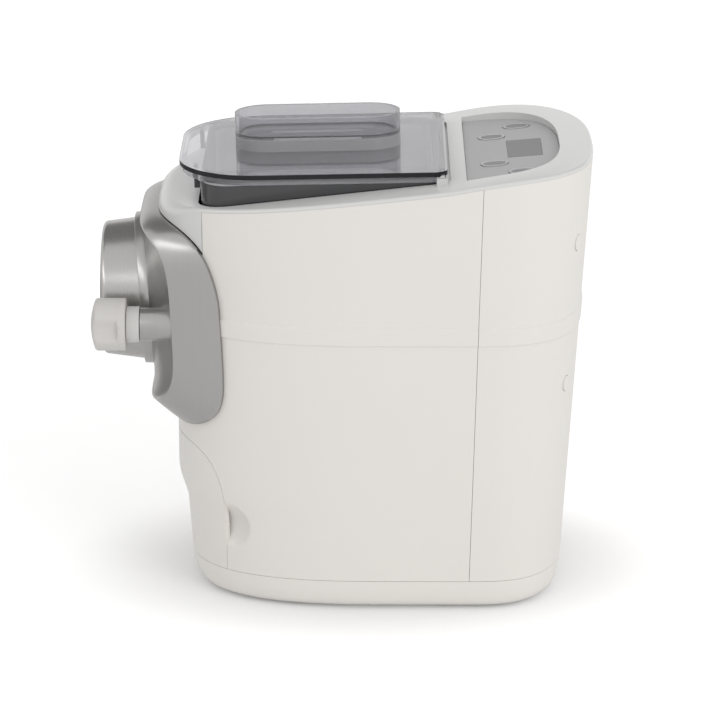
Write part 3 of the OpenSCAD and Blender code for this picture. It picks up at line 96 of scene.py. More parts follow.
def surface_group(name, stretch, detail, wide):
    """Two layers of noise over the piece's own coordinates: fine relief and wide tint."""
    group = bpy.data.node_groups.new(name, "ShaderNodeTree")
    for label, kind, value in (
            ("Color", "Color", (0.8, 0.8, 0.8, 1)), ("Tint", "Color", (0.7, 0.7, 0.7, 1)),
            ("Scale", "Float", 900.0), ("Depth", "Float", 0.1), ("Roughness", "Float", 0.4),
            ("Spread", "Float", 0.06)):
        group.interface.new_socket(
            label, in_out="INPUT", socket_type="NodeSocket" + kind).default_value = value
    for label, kind in (("Color", "Color"), ("Roughness", "Float"), ("Normal", "Vector")):
        group.interface.new_socket(label, in_out="OUTPUT", socket_type="NodeSocket" + kind)
    given = group.nodes.new("NodeGroupInput").outputs
    place = node_of(group, "ShaderNodeTexCoord").outputs["Object"]
    place = node_of(group, "ShaderNodeMapping", {"Vector": place, "Scale": stretch}).outputs[0]
    fine = node_of(group, "ShaderNodeTexNoise", {
        "Vector": place, "Scale": given["Scale"], "Detail": detail}).outputs["Fac"]
    broad = node_of(group, "ShaderNodeTexNoise", {
        "Vector": place, "Scale": wide, "Detail": 2}).outputs["Fac"]
    blend = node_of(group, "ShaderNodeMix", {
        "Factor": broad, "A": given["Color"], "B": given["Tint"]}, data_type="RGBA")
    centred = node_of(group, "ShaderNodeMath", {0: fine, 1: 0.5}, operation="SUBTRACT")
    rough = node_of(group, "ShaderNodeMath", {0: centred.outputs[0], 1: given["Spread"],
        2: given["Roughness"]}, operation="MULTIPLY_ADD")
    bump = node_of(group, "ShaderNodeBump", {
        "Distance": 0.0001, "Strength": given["Depth"], "Height": fine})
    node_of(group, "NodeGroupOutput", {"Color": blend.outputs["Result"],
                                       "Roughness": rough.outputs[0], "Normal": bump.outputs[0]})
    return group


moulded = surface_group("moulded_grain", (1, 1, 1), 3, 9)


def finish_of(name, group, color, tint=None, rough=0.4, scale=900.0, depth=0.1, spread=0.08,
              **sockets):
    """A material whose colour, roughness and normal come from a shared group."""
    material = bpy.data.materials.new(name)
    material.use_nodes = True
    tree = material.node_tree
    shader = tree.nodes["Principled BSDF"]
    surface = node_of(tree, "ShaderNodeGroup", node_tree=group)
    for label, value in (("Color", (*color, 1)),
                         ("Tint", (*(tint or [0.94 * c for c in color]), 1)),
                         ("Scale", scale), ("Depth", depth), ("Roughness", rough),
                         ("Spread", spread)):
        surface.inputs[label].default_value = value
    for label, socket in (("Color", "Base Color"), ("Roughness", "Roughness"),
                          ("Normal", "Normal")):
        tree.links.new(surface.outputs[label], shader.inputs[socket])
    for label, value in sockets.items():
        shader.inputs[label.replace("_", " ")].default_value = value
    return material


cover_white = finish_of("cover_white", moulded, (0.77, 0.745, 0.705), (0.75, 0.725, 0.69),
                        rough=0.42, scale=1500, depth=0.12)
WALL = 2.6
RIM_FRONT, REAR, HALF = 260.0, 157.3, 101.0


def eased(u):
    v = np.clip(u, 0, 1)
    return v * v * (3 - 2 * v)


def ramp(y, a, b):
    d = np.clip(y - a, 0, b - a)
    return d * d / (2 * (b - a)) + np.maximum(0, y - b)


def rim_z(y):
    """Height of the rim: it climbs to the rear and eases off behind the control area."""
    return RIM_FRONT + 0.11 * (y + 87) + 0.08 * ramp(y, 54, 74) - 0.19 * ramp(y, 74, 142)


DECK_H = float(rim_z(np.float64(REAR)))


def half_width(z):
    return HALF - (DECK_H - z) * 0.034


def rear_y(z):
    return REAR - (DECK_H - z) * 0.0634


def front_y(z):
    """The front leans out to the nose at the top and steps back above the base."""
    return (-106.7 - 10.8 * eased((z - 190) / 60) + 5.9 * eased((77 - z) / 26)
            + 0.075 * np.maximum(0, 51 - z))


def outline(t, z, inset=0.0):
    """Points round the body: t is -90 at the front, 0 to 10 along the side, 100 behind."""
    t, z = np.broadcast_arrays(np.asarray(t, float), np.asarray(z, float))
    a = half_width(z) - inset
    c1 = np.maximum(0, np.cos(np.radians(np.clip(t, -90, 0))))
    s1 = np.maximum(0, np.sin(np.radians(-np.clip(t, -90, 0))))
    c2 = np.maximum(0, np.cos(np.radians(np.clip(t - 10, 0, 90))))
    s2 = np.maximum(0, np.sin(np.radians(np.clip(t - 10, 0, 90))))
    x = np.where(t < 0, a * c1 ** (2 / 3), np.where(t <= 10, a, a * c2 ** (2 / 2.85)))
    y = np.where(t < 0, 30 - (30 - front_y(z) - inset) * s1 ** (2 / 2.7),
                 np.where(t <= 10, 30 + 5 * t, 80 + (rear_y(z) - 80 - inset) * s2 ** (2 / 2.85)))
    return np.stack([x, y, z], -1)


def spaced(t0, t1, z, n):
    """n places from t0 to t1, evenly spaced along the outline."""
    fine = np.linspace(t0, t1, 500)
    xy = outline(fine, z)[:, :2]
    run = np.concatenate([[0], np.cumsum(np.hypot(*np.diff(xy, axis=0).T))])
    return np.interp(np.linspace(0, run[-1], n), run, fine)


def cleaned(mesh, sharp):
    """Merges doubled points, turns the faces outwards and marks the sharp edges."""
    work = bmesh.new()
    work.from_mesh(mesh)
    bmesh.ops.remove_doubles(work, verts=work.verts, dist=2e-6)
    bmesh.ops.dissolve_degenerate(work, edges=work.edges, dist=1e-6)
    bmesh.ops.recalc_face_normals(work, faces=work.faces)
    work.to_mesh(mesh)
    work.free()
    mesh.shade_smooth()
    mesh.set_sharp_from_angle(angle=math.radians(sharp))


def moulding(name, points, faces, sharp=40):
    """A closed mesh from points in millimetres."""
    mesh = bpy.data.meshes.new(name)
    mesh.from_pydata((np.asarray(points, float) * 0.001).tolist(), [],
                     [list(map(int, f)) for f in faces])
    cleaned(mesh, sharp)
    piece = bpy.data.objects.new(name, mesh)
    scene.collection.objects.link(piece)
    return piece


def wall_between(outer, inner, ring=False):
    """Points and faces of a closed wall between two grids of rows and columns."""
    rows, cols = outer.shape[:2]
    a = np.arange(rows * cols).reshape(rows, cols)
    b = a + rows * cols
    js = range(cols if ring else cols - 1)
    faces = []
    for j in js:
        k = (j + 1) % cols
        for i in range(rows - 1):
            faces.append((a[i, j], a[i, k], a[i + 1, k], a[i + 1, j]))
            faces.append((b[i, j], b[i + 1, j], b[i + 1, k], b[i, k]))
        faces.append((a[0, j], b[0, j], b[0, k], a[0, k]))
        faces.append((a[-1, j], a[-1, k], b[-1, k], b[-1, j]))
    if not ring:
        for i in range(rows - 1):
            faces.append((a[i, 0], a[i + 1, 0], b[i + 1, 0], b[i, 0]))
            faces.append((a[i, -1], b[i, -1], b[i + 1, -1], a[i + 1, -1]))
    return np.concatenate([outer.reshape(-1, 3), inner.reshape(-1, 3)]), faces


def break_edges(piece, width, segments=2, angle=50):
    """Moulded edges are never quite sharp."""
    bevel = piece.modifiers.new("edges", "BEVEL")
    bevel.width = width * 0.001
    bevel.segments = segments
    bevel.limit_method = "ANGLE"
    bevel.angle_limit = math.radians(angle)
    bevel.harden_normals = True
    return piece


def set_shape(piece):
    """Turns a piece with its modifiers into a plain mesh."""
    evaluated = piece.evaluated_get(bpy.context.evaluated_depsgraph_get())
    mesh = bpy.data.meshes.new_from_object(evaluated)
    piece.modifiers.clear()
    piece.data = mesh
    return piece


def weld_or_cut(piece, tool, how):
    """Adds or takes away a tool, which is removed."""
    change = piece.modifiers.new("shape", "BOOLEAN")
    change.operation = how
    change.solver = "EXACT"
    change.object = tool
    bpy.context.view_layer.update()
    set_shape(piece)
    bpy.data.objects.remove(tool)
    piece.data.shade_smooth()
    piece.data.set_sharp_from_angle(angle=math.radians(35))
    return piece


def fit_piece(piece, material, body, slot, *stands_for):
    """Gives a piece its finish, the body that it rides on and the nodes it stands for."""
    piece.data.materials.clear()
    piece.data.materials.append(material)
    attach(piece, body)
    if stands_for:
        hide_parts(*stands_for)
    return piece


lower_edge = [(20.15, 0.0), (17, 0), (14, 0.05), (11.5, 0.3), (9, 0.75), (7, 1.35), (5.4, 2.1),
              (4, 3.1), (3, 4.3), (2.2, 5.9), (1.75, 7.6), (1.6, 9.5)]


def ring_of(z, inset, n=120):
    half = outline(spaced(-90, 100, max(z, 5), n), z, inset)
    return np.concatenate([half, half[-2:0:-1] * [-1, 1, 1]])


outer = np.array([ring_of(z, k) for z, k in lower_edge[::-1]])
inner = np.array([ring_of(max(z, 4.2), k + WALL * 0.9) for z, k in lower_edge[::-1]])
count = outer.shape[1]
verts, faces = wall_between(outer, inner, ring=True)
faces = [f for f in faces if not (set(f) <= set(range(count)) | set(range(len(verts) // 2,
    len(verts) // 2 + count)))]
faces.append(tuple(range(count)))
faces.append(tuple(range(len(verts) // 2 + count - 1, len(verts) // 2 - 1, -1)))
base = moulding("skin_base_tray", verts, faces, 50)


def square_block(name, low, high):
    """A closed block between two corners."""
    (x0, y0, z0), (x1, y1, z1) = low, high
    verts = [(x, y, z) for z in (z0, z1) for x, y in ((x0, y0), (x1, y0), (x1, y1), (x0, y1))]
    return moulding(name, verts, [(0, 3, 2, 1), (4, 5, 6, 7), (0, 1, 5, 4), (1, 2, 6, 5),
                                  (2, 3, 7, 6), (3, 0, 4, 7)])


weld_or_cut(base, square_block("tool", (-200, -19, -2), (200, 61, 2.5)), "DIFFERENCE")
for y in np.arange(-8, 65, 12.0):
    weld_or_cut(base, square_block("tool", (-26, y, 0), (26, y + 4, 8)), "DIFFERENCE")
fit_piece(break_edges(base, 0.3, 2, 60), cover_white, "housing", "white_shell", "base_tray")

# ---- Rubber feet and case screws -----------------------------------------------------
# Four soft rubber rings pressed into the base, and the zinc plated cross-head screws that
# hold the tray to the case from below, one beside each foot.
turned = surface_group("turned_lines", (1, 60, 1), 3, 6)
foot_rubber = finish_of("foot_rubber", moulded, (0.035, 0.035, 0.035), rough=0.8, scale=700,
                        depth=0.4)
zinc_plate = finish_of("zinc_plate", turned, (0.50, 0.51, 0.52), rough=0.35, scale=300,
                       Metallic=1.0)


def form_tree(name, sizes):
    """A Geometry Nodes tree whose inputs are a piece's named sizes and its finish."""
    tree = bpy.data.node_groups.new(name, "GeometryNodeTree")
    for label, value in sizes.items():
        kind = "NodeSocketInt" if isinstance(value, int) else "NodeSocketFloat"
        tree.interface.new_socket(label, in_out="INPUT", socket_type=kind).default_value = value
    tree.interface.new_socket("finish", in_out="INPUT", socket_type="NodeSocketMaterial")
    tree.interface.new_socket("Geometry", in_out="OUTPUT", socket_type="NodeSocketGeometry")
    return tree, tree.nodes.new("NodeGroupInput").outputs


def step(tree, kind, **values):
    """Adds a node: names with a capital are its sockets, the others are its settings."""
    sockets = {label.replace("_", " "): v for label, v in values.items() if label[0].isupper()}
    settings = {label: v for label, v in values.items() if not label[0].isupper()}
    return node_of(tree, "GeometryNode" + kind, sockets, **settings).outputs[0]


def worked_out(tree, a, b, operation="ADD"):
    return node_of(tree, "ShaderNodeMath", {0: a, 1: b}, operation=operation).outputs[0]


def point(tree, x=0.0, y=0.0, z=0.0):
    return node_of(tree, "ShaderNodeCombineXYZ", {0: x, 1: y, 2: z}).outputs[0]


def raised(tree, geometry, height):
    return step(tree, "Transform", Geometry=geometry, Translation=point(tree, z=height))


def end_tree(tree, given, geometry):
    """Ends a tree: copies made real, then one material."""
    real = step(tree, "RealizeInstances", Geometry=geometry)
    dressed = step(tree, "SetMaterial", Geometry=real, Material=given["finish"])
    tree.links.new(dressed, tree.nodes.new("NodeGroupOutput").inputs[0])


def grow_piece(name, tree, sizes, finish, body, slot, node, place, sharp=40):
    """A piece that a tree makes, turned into a plain mesh and put in its place."""
    piece = bpy.data.objects.new(name, bpy.data.meshes.new(name))
    scene.collection.objects.link(piece)
    form = piece.modifiers.new("form", "NODES")
    form.node_group = tree
    for socket in tree.interface.items_tree:
        if socket.in_out == "INPUT":
            form[socket.identifier] = finish if socket.name == "finish" else sizes[socket.name]
    bpy.context.view_layer.update()
    set_shape(piece)
    piece.data.transform(place)
    cleaned(piece.data, sharp)
    return fit_piece(piece, finish, body, slot, node)


foot_low, foot_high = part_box("rubber_feet")
foot_middle = (foot_low + foot_high) / 2
FOOT_R, FOOT_H = 0.009, 0.003
foot_sizes = {"across": foot_high.x - foot_low.x - 2 * FOOT_R,
              "along": foot_high.y - foot_low.y - 2 * FOOT_R,
              "radius": FOOT_R, "bore": 0.0035, "height": FOOT_H, "rounding": 0.0006}
feet, given = form_tree("feet_form", foot_sizes)
wall = worked_out(feet, given["radius"], given["bore"], "SUBTRACT")
ring_r = worked_out(feet, worked_out(feet, given["radius"], given["bore"]), 0.5, "MULTIPLY")
section = step(feet, "CurvePrimitiveQuadrilateral", Width=wall, Height=given["height"])
section = step(feet, "FilletCurve", mode="POLY", Curve=section, Count=4, Radius=given["rounding"])
foot = step(feet, "CurveToMesh", Profile_Curve=section,
            Curve=step(feet, "CurvePrimitiveCircle", Resolution=48, Radius=ring_r))
spots = step(feet, "MeshGrid", Size_X=given["across"], Size_Y=given["along"], Vertices_X=2,
             Vertices_Y=2)
end_tree(feet, given, step(feet, "InstanceOnPoints", Points=spots, Instance=foot))
grow_piece("skin_rubber_feet", feet, foot_sizes, foot_rubber, "housing", "foot_rubber",
           "rubber_feet", Matrix.Translation((foot_middle.x, foot_middle.y, FOOT_H / 2)))

screw_low, screw_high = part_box("base_screws")
HEAD_H = 0.001
screw_sizes = {"across": foot_sizes["across"], "along": foot_sizes["along"], "head": 0.0033,
               "head_height": HEAD_H, "shank": 0.0021,
               "length": screw_high.z - screw_low.z - HEAD_H, "recess": 0.0044,
               "recess_width": 0.0008}
screws, given = form_tree("screw_form", screw_sizes)
head = step(screws, "MeshCone", Vertices=40, Radius_Top=given["head"], Depth=given["head_height"],
            Radius_Bottom=worked_out(screws, given["head"], 0.85, "MULTIPLY"))
recess = []
for bar in ((given["recess"], given["recess_width"]), (given["recess_width"], given["recess"])):
    bar = step(screws, "MeshCube", Size=point(screws, *bar, given["head_height"]))
    recess.append(raised(screws, bar, worked_out(screws, given["head_height"], -0.4, "MULTIPLY")))
head = step(screws, "MeshBoolean", operation="DIFFERENCE", solver="EXACT", Mesh_1=head,
            Mesh_2=recess)
shank = step(screws, "MeshCylinder", Vertices=32, Radius=given["shank"], Depth=given["length"])
half_length = worked_out(screws, given["length"], 0.5, "MULTIPLY")
shank = raised(screws, shank, worked_out(screws, half_length, given["head_height"]))
spots = step(screws, "MeshGrid", Size_X=given["across"], Size_Y=given["along"], Vertices_X=2,
             Vertices_Y=2)
end_tree(screws, given, step(screws, "InstanceOnPoints", Points=spots, Instance=step(
    screws, "JoinGeometry", Geometry=[head, shank])))
grow_piece("skin_base_screws", screws, screw_sizes, zinc_plate, "housing", "zinc", "base_screws",
           Matrix.Translation((foot_middle.x, foot_middle.y, screw_low.z)))

# ---- Chassis, motor and gears --------------------------------------------------------
# The ribbed grey chassis carries tub, gearbox and motor. The gears are acetal on steel pins,
# the motor has a blackened can with zinc end plates, and the shafts run in bronze bushes.
drawn = surface_group("drawn_lines", (1, 26, 1), 4, 14)


def refinish(material, *names):
    """Gives CAD nodes a material."""
    for name in names:
        slots = nodes[name].data.materials
        slots.clear()
        slots.append(material)


frame_grey = finish_of("frame_grey", moulded, (0.30, 0.30, 0.31), rough=0.55, scale=500, depth=0.4)
gear_acetal = finish_of("gear_acetal", moulded, (0.75, 0.70, 0.58), rough=0.4, scale=500,
                        depth=0.1)
motor_black = finish_of("motor_black", drawn, (0.10, 0.10, 0.11), rough=0.35, scale=200,
                        Metallic=1.0)
fan_black = finish_of("fan_black", moulded, (0.06, 0.06, 0.065), rough=0.5, scale=500, depth=0.3)
brass = finish_of("brass", turned, (0.62, 0.45, 0.2), rough=0.28, scale=200, Metallic=1.0)
bronze = finish_of("bronze", moulded, (0.45, 0.27, 0.12), rough=0.5, scale=900, depth=0.3,
                   Metallic=1.0)
steel = finish_of("ground_steel", turned, (0.58, 0.58, 0.58), rough=0.22, scale=300, Metallic=1.0)
refinish(frame_grey, "front_frame", "chassis", "gearbox_case", "gearbox_cover", "motor_saddle")
refinish(gear_acetal, "output_gear", "second_gear", "first_gear")
refinish(motor_black, "motor_can")
refinish(zinc_plate, "motor_end_plates", "gearbox_screws")
refinish(fan_black, "cooling_fan")
refinish(brass, "knob_sleeves", "motor_pinion")
refinish(bronze, "shaft_bushes")
refinish(steel, "drive_shaft", "gear_pins", "motor_shaft")

# ---- Boards and interlock ------------------------------------------------------------
# Green circuit boards with a white key mat over the switches. The interlock is a black
# plunger on a steel spring, which the tab of the shut lid presses onto its switch.
board_green = finish_of("board_green", moulded, (0.03, 0.16, 0.07), (0.05, 0.2, 0.09), rough=0.3,
                        scale=250, depth=0.2)
mat_white = finish_of("mat_white", moulded, (0.7, 0.7, 0.67), rough=0.6, scale=600)
refinish(board_green, "control_board", "power_board", "display_module")
refinish(mat_white, "key_mat")
dark_plastic = finish_of("dark_plastic", moulded, (0.05, 0.05, 0.055), rough=0.4, scale=600,
                         depth=0.2)
refinish(dark_plastic, "interlock_plunger", "interlock_switch")
coil_low, coil_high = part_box("interlock_spring")
coil_middle = (coil_low + coil_high) / 2
coil_sizes = {"radius": 0.0024, "wire": 0.0004, "height": coil_high.z - coil_low.z, "turns": 5.0}
coil, given = form_tree("spring_form", coil_sizes)
rise_of_coil = worked_out(coil, given["height"], worked_out(
    coil, given["wire"], 2.0, "MULTIPLY"), "SUBTRACT")
helix = step(coil, "CurveSpiral", Resolution=24, Rotations=given["turns"],
             Start_Radius=given["radius"], End_Radius=given["radius"], Height=rise_of_coil)
wire = step(coil, "CurvePrimitiveCircle", Resolution=8, Radius=given["wire"])
end_tree(coil, given, step(coil, "CurveToMesh", Curve=helix, Profile_Curve=wire, Fill_Caps=True))
grow_piece("skin_interlock_spring", coil, coil_sizes, steel, "housing", "steel",
           "interlock_spring", Matrix.Translation(
               (coil_middle.x, coil_middle.y, coil_low.z + coil_sizes["wire"])))

# ---- Mixing tub ----------------------------------------------------------------------
# The tub is moulded in dark tinted plastic and hangs in the deck by its ledge. Its inner walls are
# painted a light grey, painted light for the light that falls into it. A soft seal closes the hole
# of the shaft in its rear wall.
flowed = surface_group("flow_streaks", (1, 4, 1), 2, 5)
tub_smoke_painted_inside = finish_of("tub_smoke_painted_inside", flowed, (0.065, 0.065, 0.068), (0.045, 0.045, 0.047),
                      rough=0.14, scale=90, depth=0.05, spread=0.05)
seal_grey = finish_of("seal_grey", moulded, (0.13, 0.13, 0.135), rough=0.6, scale=700, depth=0.2)
tree = tub_smoke_painted_inside.node_tree
# Painted light: a mask by place mixes the inner walls to a light grey, though they are the same
# dark plastic as the outside.
parts = node_of(tree, "ShaderNodeSeparateXYZ", {
    0: node_of(tree, "ShaderNodeTexCoord").outputs["Object"]}).outputs
TUB_CORNER, CORNER_FADE, REAR_FADE = (0.058, 0.0705, 0), (0.0172, 0.0162), (0.0590, 0.0575)
quarter = point(tree, worked_out(tree, parts["X"], 0.0, "ABSOLUTE"),
                worked_out(tree, parts["Y"], -1.0, "MULTIPLY"))
for operation, values in (("SUBTRACT", {1: TUB_CORNER}), ("MAXIMUM", {}), ("LENGTH", {})):
    quarter = node_of(tree, "ShaderNodeVectorMath", {0: quarter, **values}, operation=operation)
    quarter = quarter.outputs["Value" if operation == "LENGTH" else "Vector"]
inner_light_masks = [node_of(tree, "ShaderNodeMapRange", {
    "Value": source, "From Min": fade[0], "From Max": fade[1]}).outputs["Result"]
    for source, fade in ((quarter, CORNER_FADE), (parts["Y"], REAR_FADE))]
tub_color = tree.nodes["Principled BSDF"].inputs["Base Color"]
painted_inner_light = node_of(tree, "ShaderNodeMix", {
    "Factor": worked_out(tree, *inner_light_masks, "MULTIPLY"), "A": tub_color.links[0].from_socket,
    "B": (0.62, 0.62, 0.635, 1)}, data_type="RGBA")
tree.links.new(painted_inner_light.outputs["Result"], tub_color)
refinish(tub_smoke_painted_inside, "mixing_tub")
refinish(seal_grey, "tub_shaft_seal")

# ---- Extruder tube, screw and paddle -------------------------------------------------
# White food-safe plastic: the tube slides into the tub, and the screw has one helical flight
# on a hollow core that plugs onto the drive shaft behind the mixing paddle.
DRIVE_Z = 187.0
food_white = finish_of("food_white", moulded, (0.74, 0.74, 0.71), rough=0.45, scale=800,
                       depth=0.15)
refinish(food_white, "extruder_tube", "mixing_paddle")
auger_low, auger_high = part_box("extruder_screw")
TIP_L = 0.0038
screw_l = auger_high.y - auger_low.y - TIP_L
auger_sizes = {"core": 0.009, "reach": (auger_high.x - auger_low.x) / 2 - 0.0002, "pitch": 0.03,
               "flight_start": 0.005, "flight_end": screw_l - 0.012, "length": screw_l,
               "blade": 0.0032, "rounding": 0.0009, "tip": 0.004, "tip_length": TIP_L}
auger, given = form_tree("auger_form", auger_sizes)
run = worked_out(auger, given["flight_end"], given["flight_start"], "SUBTRACT")
turns = worked_out(auger, run, given["pitch"], "DIVIDE")
mean_r = worked_out(auger, worked_out(auger, given["core"], given["reach"]), 0.5, "MULTIPLY")
helix = step(auger, "CurveSpiral", Resolution=48, Rotations=turns, Start_Radius=mean_r,
             End_Radius=mean_r, Height=run)
helix = step(auger, "SetCurveNormal", mode="Z_UP", Curve=helix)
deep = worked_out(auger, given["reach"], given["core"], "SUBTRACT")
blade = step(auger, "CurvePrimitiveQuadrilateral", Width=worked_out(auger, deep, 0.001),
             Height=given["blade"])
blade = step(auger, "FilletCurve", mode="POLY", Curve=blade, Count=3, Radius=given["rounding"])
flight = step(auger, "CurveToMesh", Curve=helix, Profile_Curve=blade, Fill_Caps=True)
flight = raised(auger, flight, given["flight_start"])
core = step(auger, "MeshCylinder", Vertices=64, Radius=given["core"], Depth=given["length"])
core = raised(auger, core, worked_out(auger, given["length"], 0.5, "MULTIPLY"))
tip = step(auger, "MeshCylinder", Vertices=40, Radius=given["tip"], Depth=given["tip_length"])
tip = raised(auger, tip, worked_out(auger, given["tip_length"], -0.5, "MULTIPLY"))
end_tree(auger, given, step(auger, "JoinGeometry", Geometry=[core, tip, flight]))
grow_piece("skin_extruder_screw", auger, auger_sizes, food_white, "drive", "food_plastic",
           "extruder_screw", Matrix.Translation((0, auger_low.y + TIP_L, DRIVE_Z / 1000))
           @ Matrix.Rotation(-math.pi / 2, 4, "X"))

# ---- Side panels and rear cover ------------------------------------------------------
# Injection moulded covers in warm white, clipped to each other with fine seams. A raised
# band runs round them, and each side panel ends in the arch of the drawer's opening.
# Round plugs hide the four case screws of the rear, and the gland holds the mains lead.
RIM_DROP, PANEL_GAP = 2.2, 0.25
BAND_Z, BAND_EDGE, BAND_H = (176.9, 188), 1.1, 0.8
PANEL_Z, PANEL_CURVE = 179.3, 6.1
OPENING_HALF, OPENING_RISE = 69.4, 58.9


def turn_at(y, z):
    """Where the outline passes y on the +X side."""
    if y < 30:
        return -math.degrees(math.asin(min(1, (30 - y) / (30 - front_y(z))) ** 1.35))
    if y <= 80:
        return (y - 30) / 5
    return 10 + math.degrees(math.asin(min(1, (y - 80) / (rear_y(z) - 80)) ** 1.425))


def cover_seam_y(z):
    """The seam between side panel and rear cover leans back as it climbs."""
    return 79 + 0.026 * z


def band_height(z):
    """The raised band round the body, with softly moulded edges."""
    return BAND_H * (eased((z - BAND_Z[0]) / BAND_EDGE) - eased((z - BAND_Z[1]) / BAND_EDGE))


ARCH_Z, ARCH_TOP, ARCH_Y = 40.0, 102.0, -73.9
band_rows = np.array([176.9, 177.1, 177.3, 177.5, 177.7, 177.9, 178.1, 183, 187.8, 188, 188.2,
                      188.4, 188.6, 188.8, 189, 189.2])


def arch_edge(z, gap):
    if z < ARCH_Z:
        return ARCH_Y - gap
    u = min(1, (z - ARCH_Z) / (ARCH_TOP - ARCH_Z - gap))
    return -106.7 + (ARCH_Y + 106.7 - gap) * (1 - u ** 2.65) ** (1 / 2.65)


SCOOP_Y, SCOOP_Z, SCOOP_R, SCOOP_OFF = -71.9, 51.5, 22.0, 16.5
scoop_t = turn_at(SCOOP_Y, SCOOP_Z)
scoop_place = outline(scoop_t, SCOOP_Z)
scoop_way = np.diff(outline(np.array([scoop_t - 0.5, scoop_t + 0.5]), SCOOP_Z), axis=0)[0]
scoop_out = np.array([scoop_way[1], -scoop_way[0], 0]) / np.hypot(*scoop_way[:2])


def scooped(points, inset):
    """Presses the finger scoop into the cover: part of a sphere with a lightly broken edge."""
    side = points - scoop_place
    across = np.sqrt((side[..., 0] * scoop_out[1] - side[..., 1] * scoop_out[0]) ** 2 + side[...,
        2] ** 2)
    deep = np.sqrt(np.maximum(0, SCOOP_R ** 2 - across ** 2)) - SCOOP_OFF
    deep = np.maximum(0, 0.5 * (deep + np.sqrt(deep ** 2 + 0.25)) - 0.02)
    deep = np.where(points[..., 1] < -30, deep * eased((19 - across) / 2), 0)
    return points - deep[..., None] * scoop_out


def side_grid(inset):
    zs = np.unique(np.round(np.concatenate([[20.4], np.arange(22, 34, 2.2),
                                            np.arange(34, 70, 0.75), np.arange(71, 176, 2.2),
                                            band_rows, np.arange(191, 239, 2.6)]), 3))
    rows = []
    for z in zs:
        end = turn_at(cover_seam_y(z) - PANEL_GAP, z)
        ts = spaced(turn_at(-45, z), end, z, 56)
        ts = np.concatenate([spaced(-89.9, turn_at(-45, z), z, 130)[:-1], ts])
        rows.append(outline(ts, z, inset - (band_height(z) if inset == 0 else 0)))
    for f in np.linspace(0, 1, 12)[1:]:
        z = 238 + (rim_z(85.5) - RIM_DROP - 0.2 - 238) * f
        ts = np.concatenate([spaced(-89.9, turn_at(-45, z), z, 130)[:-1],
                             spaced(turn_at(-45, z), turn_at(cover_seam_y(z) - PANEL_GAP, z), z,
                                    56)])
        top = rim_z(outline(ts, z)[:, 1]) - RIM_DROP - 0.2
        rows.append(outline(ts, 238 + (top - 238) * f, inset))
    return scooped(np.array(rows), inset)


def slab_along(name, points, axis, low, high):
    """A closed slab on a flat outline, along X (0) or Y (1); points are (other, z)."""
    n = len(points)
    verts = []
    for d in (low, high):
        verts += [(d, p[0], p[1]) if axis == 0 else (p[0], d, p[1]) for p in points]
    faces = [(i, (i + 1) % n, n + (i + 1) % n, n + i) for i in range(n)]
    faces += [tuple(range(n - 1, -1, -1)), tuple(range(n, 2 * n))]
    return moulding(name, verts, faces)


arch_points = [(arch_edge(z, 0), z) for z in [19, ARCH_Z] + list(ARCH_Z + (ARCH_TOP - ARCH_Z)
    * np.sin(np.radians(np.linspace(4, 90, 40))) ** (2 / 2.65))]
arch_points += [(-140, ARCH_TOP), (-140, 19)]
opening = [(OPENING_HALF * math.copysign(abs(math.cos(a)) ** (2 / PANEL_CURVE), math.cos(a)),
            PANEL_Z + OPENING_RISE * math.copysign(abs(math.sin(a)) ** (2 / PANEL_CURVE),
                math.sin(a))) for a in np.linspace(0, 2 * math.pi, 120, endpoint=False)]
side_outer, side_inner = side_grid(0.0), side_grid(WALL)
for name, sign in (("side_panel_right", 1), ("side_panel_left", -1)):
    verts, faces = wall_between(side_outer * [sign, 1, 1], side_inner * [sign, 1, 1])
    cover = moulding("skin_" + name, verts, faces, 60)
    weld_or_cut(cover, slab_along("arch", arch_points, 0, min(0, sign * 150), max(0, sign * 150)),
                "DIFFERENCE")
    weld_or_cut(cover, slab_along("opening", opening, 1, -150, -60), "DIFFERENCE")
    weld_or_cut(cover, slab_along("front", [(0, 160), (120, 160), (120, 290), (0, 290)]
                                  if sign > 0 else [(-120, 160), (0, 160), (0, 290), (-120, 290)],
                                  1, -150, -87), "DIFFERENCE")
    fit_piece(break_edges(cover, 0.25, 2, 60), cover_white, "housing", "white_shell", name)


def rear_grid(inset):
    zs = np.unique(np.concatenate([[20.4], np.arange(24, 176, 5), band_rows,
                                   np.arange(192, 236, 5)]))
    rows = []
    for z in zs:
        half = spaced(turn_at(cover_seam_y(z), z), 100, z, 60)
        rows.append(outline(half, z, inset - (band_height(z) if inset == 0 else 0)))
    for f in np.linspace(0, 1, 12)[1:]:
        z = 237 + (rim_z(85.5) - RIM_DROP - 0.2 - 237) * f
        half = spaced(turn_at(cover_seam_y(z), z), 100, z, 60)
        top = rim_z(outline(half, z)[:, 1]) - RIM_DROP - 0.2
        rows.append(outline(half, 237 + (top - 237) * f, inset))
    right = np.array(rows)
    return np.concatenate([right, right[:, -2::-1] * [-1, 1, 1]], axis=1)


verts, faces = wall_between(rear_grid(0.0), rear_grid(WALL))
rear_cover = moulding("skin_rear_cover", verts, faces, 60)


def rear_place(x, z):
    """Place on the rear at (x, z) and the angle that it faces, turned from +X."""
    a, b, u = half_width(z), rear_y(z) - 80, abs(x) / half_width(z)
    v = (1 - u ** 2.85) ** (1 / 2.85)
    return np.array([x, 80 + b * v, z]), math.atan2(v ** 1.85 / b, u ** 1.85 / a)


def peg(name, at, facing, radius, low, high, sides=48):
    """A round peg that stands on a place of the body and faces outwards."""
    ring = np.linspace(0, 2 * math.pi, sides, endpoint=False)
    along = np.array([math.copysign(math.cos(facing), at[0]), math.sin(facing), 0])
    across = np.array([-along[1], along[0], 0])
    verts = [at + along * d + across * radius * math.cos(r)
             + np.array([0, 0, radius * math.sin(r)]) for d in (low, high) for r in ring]
    faces = [(j, (j + 1) % sides, sides + (j + 1) % sides, sides + j) for j in range(sides)]
    faces += [tuple(range(sides)), tuple(range(2 * sides - 1, sides - 1, -1))]
    return moulding(name, verts, faces)


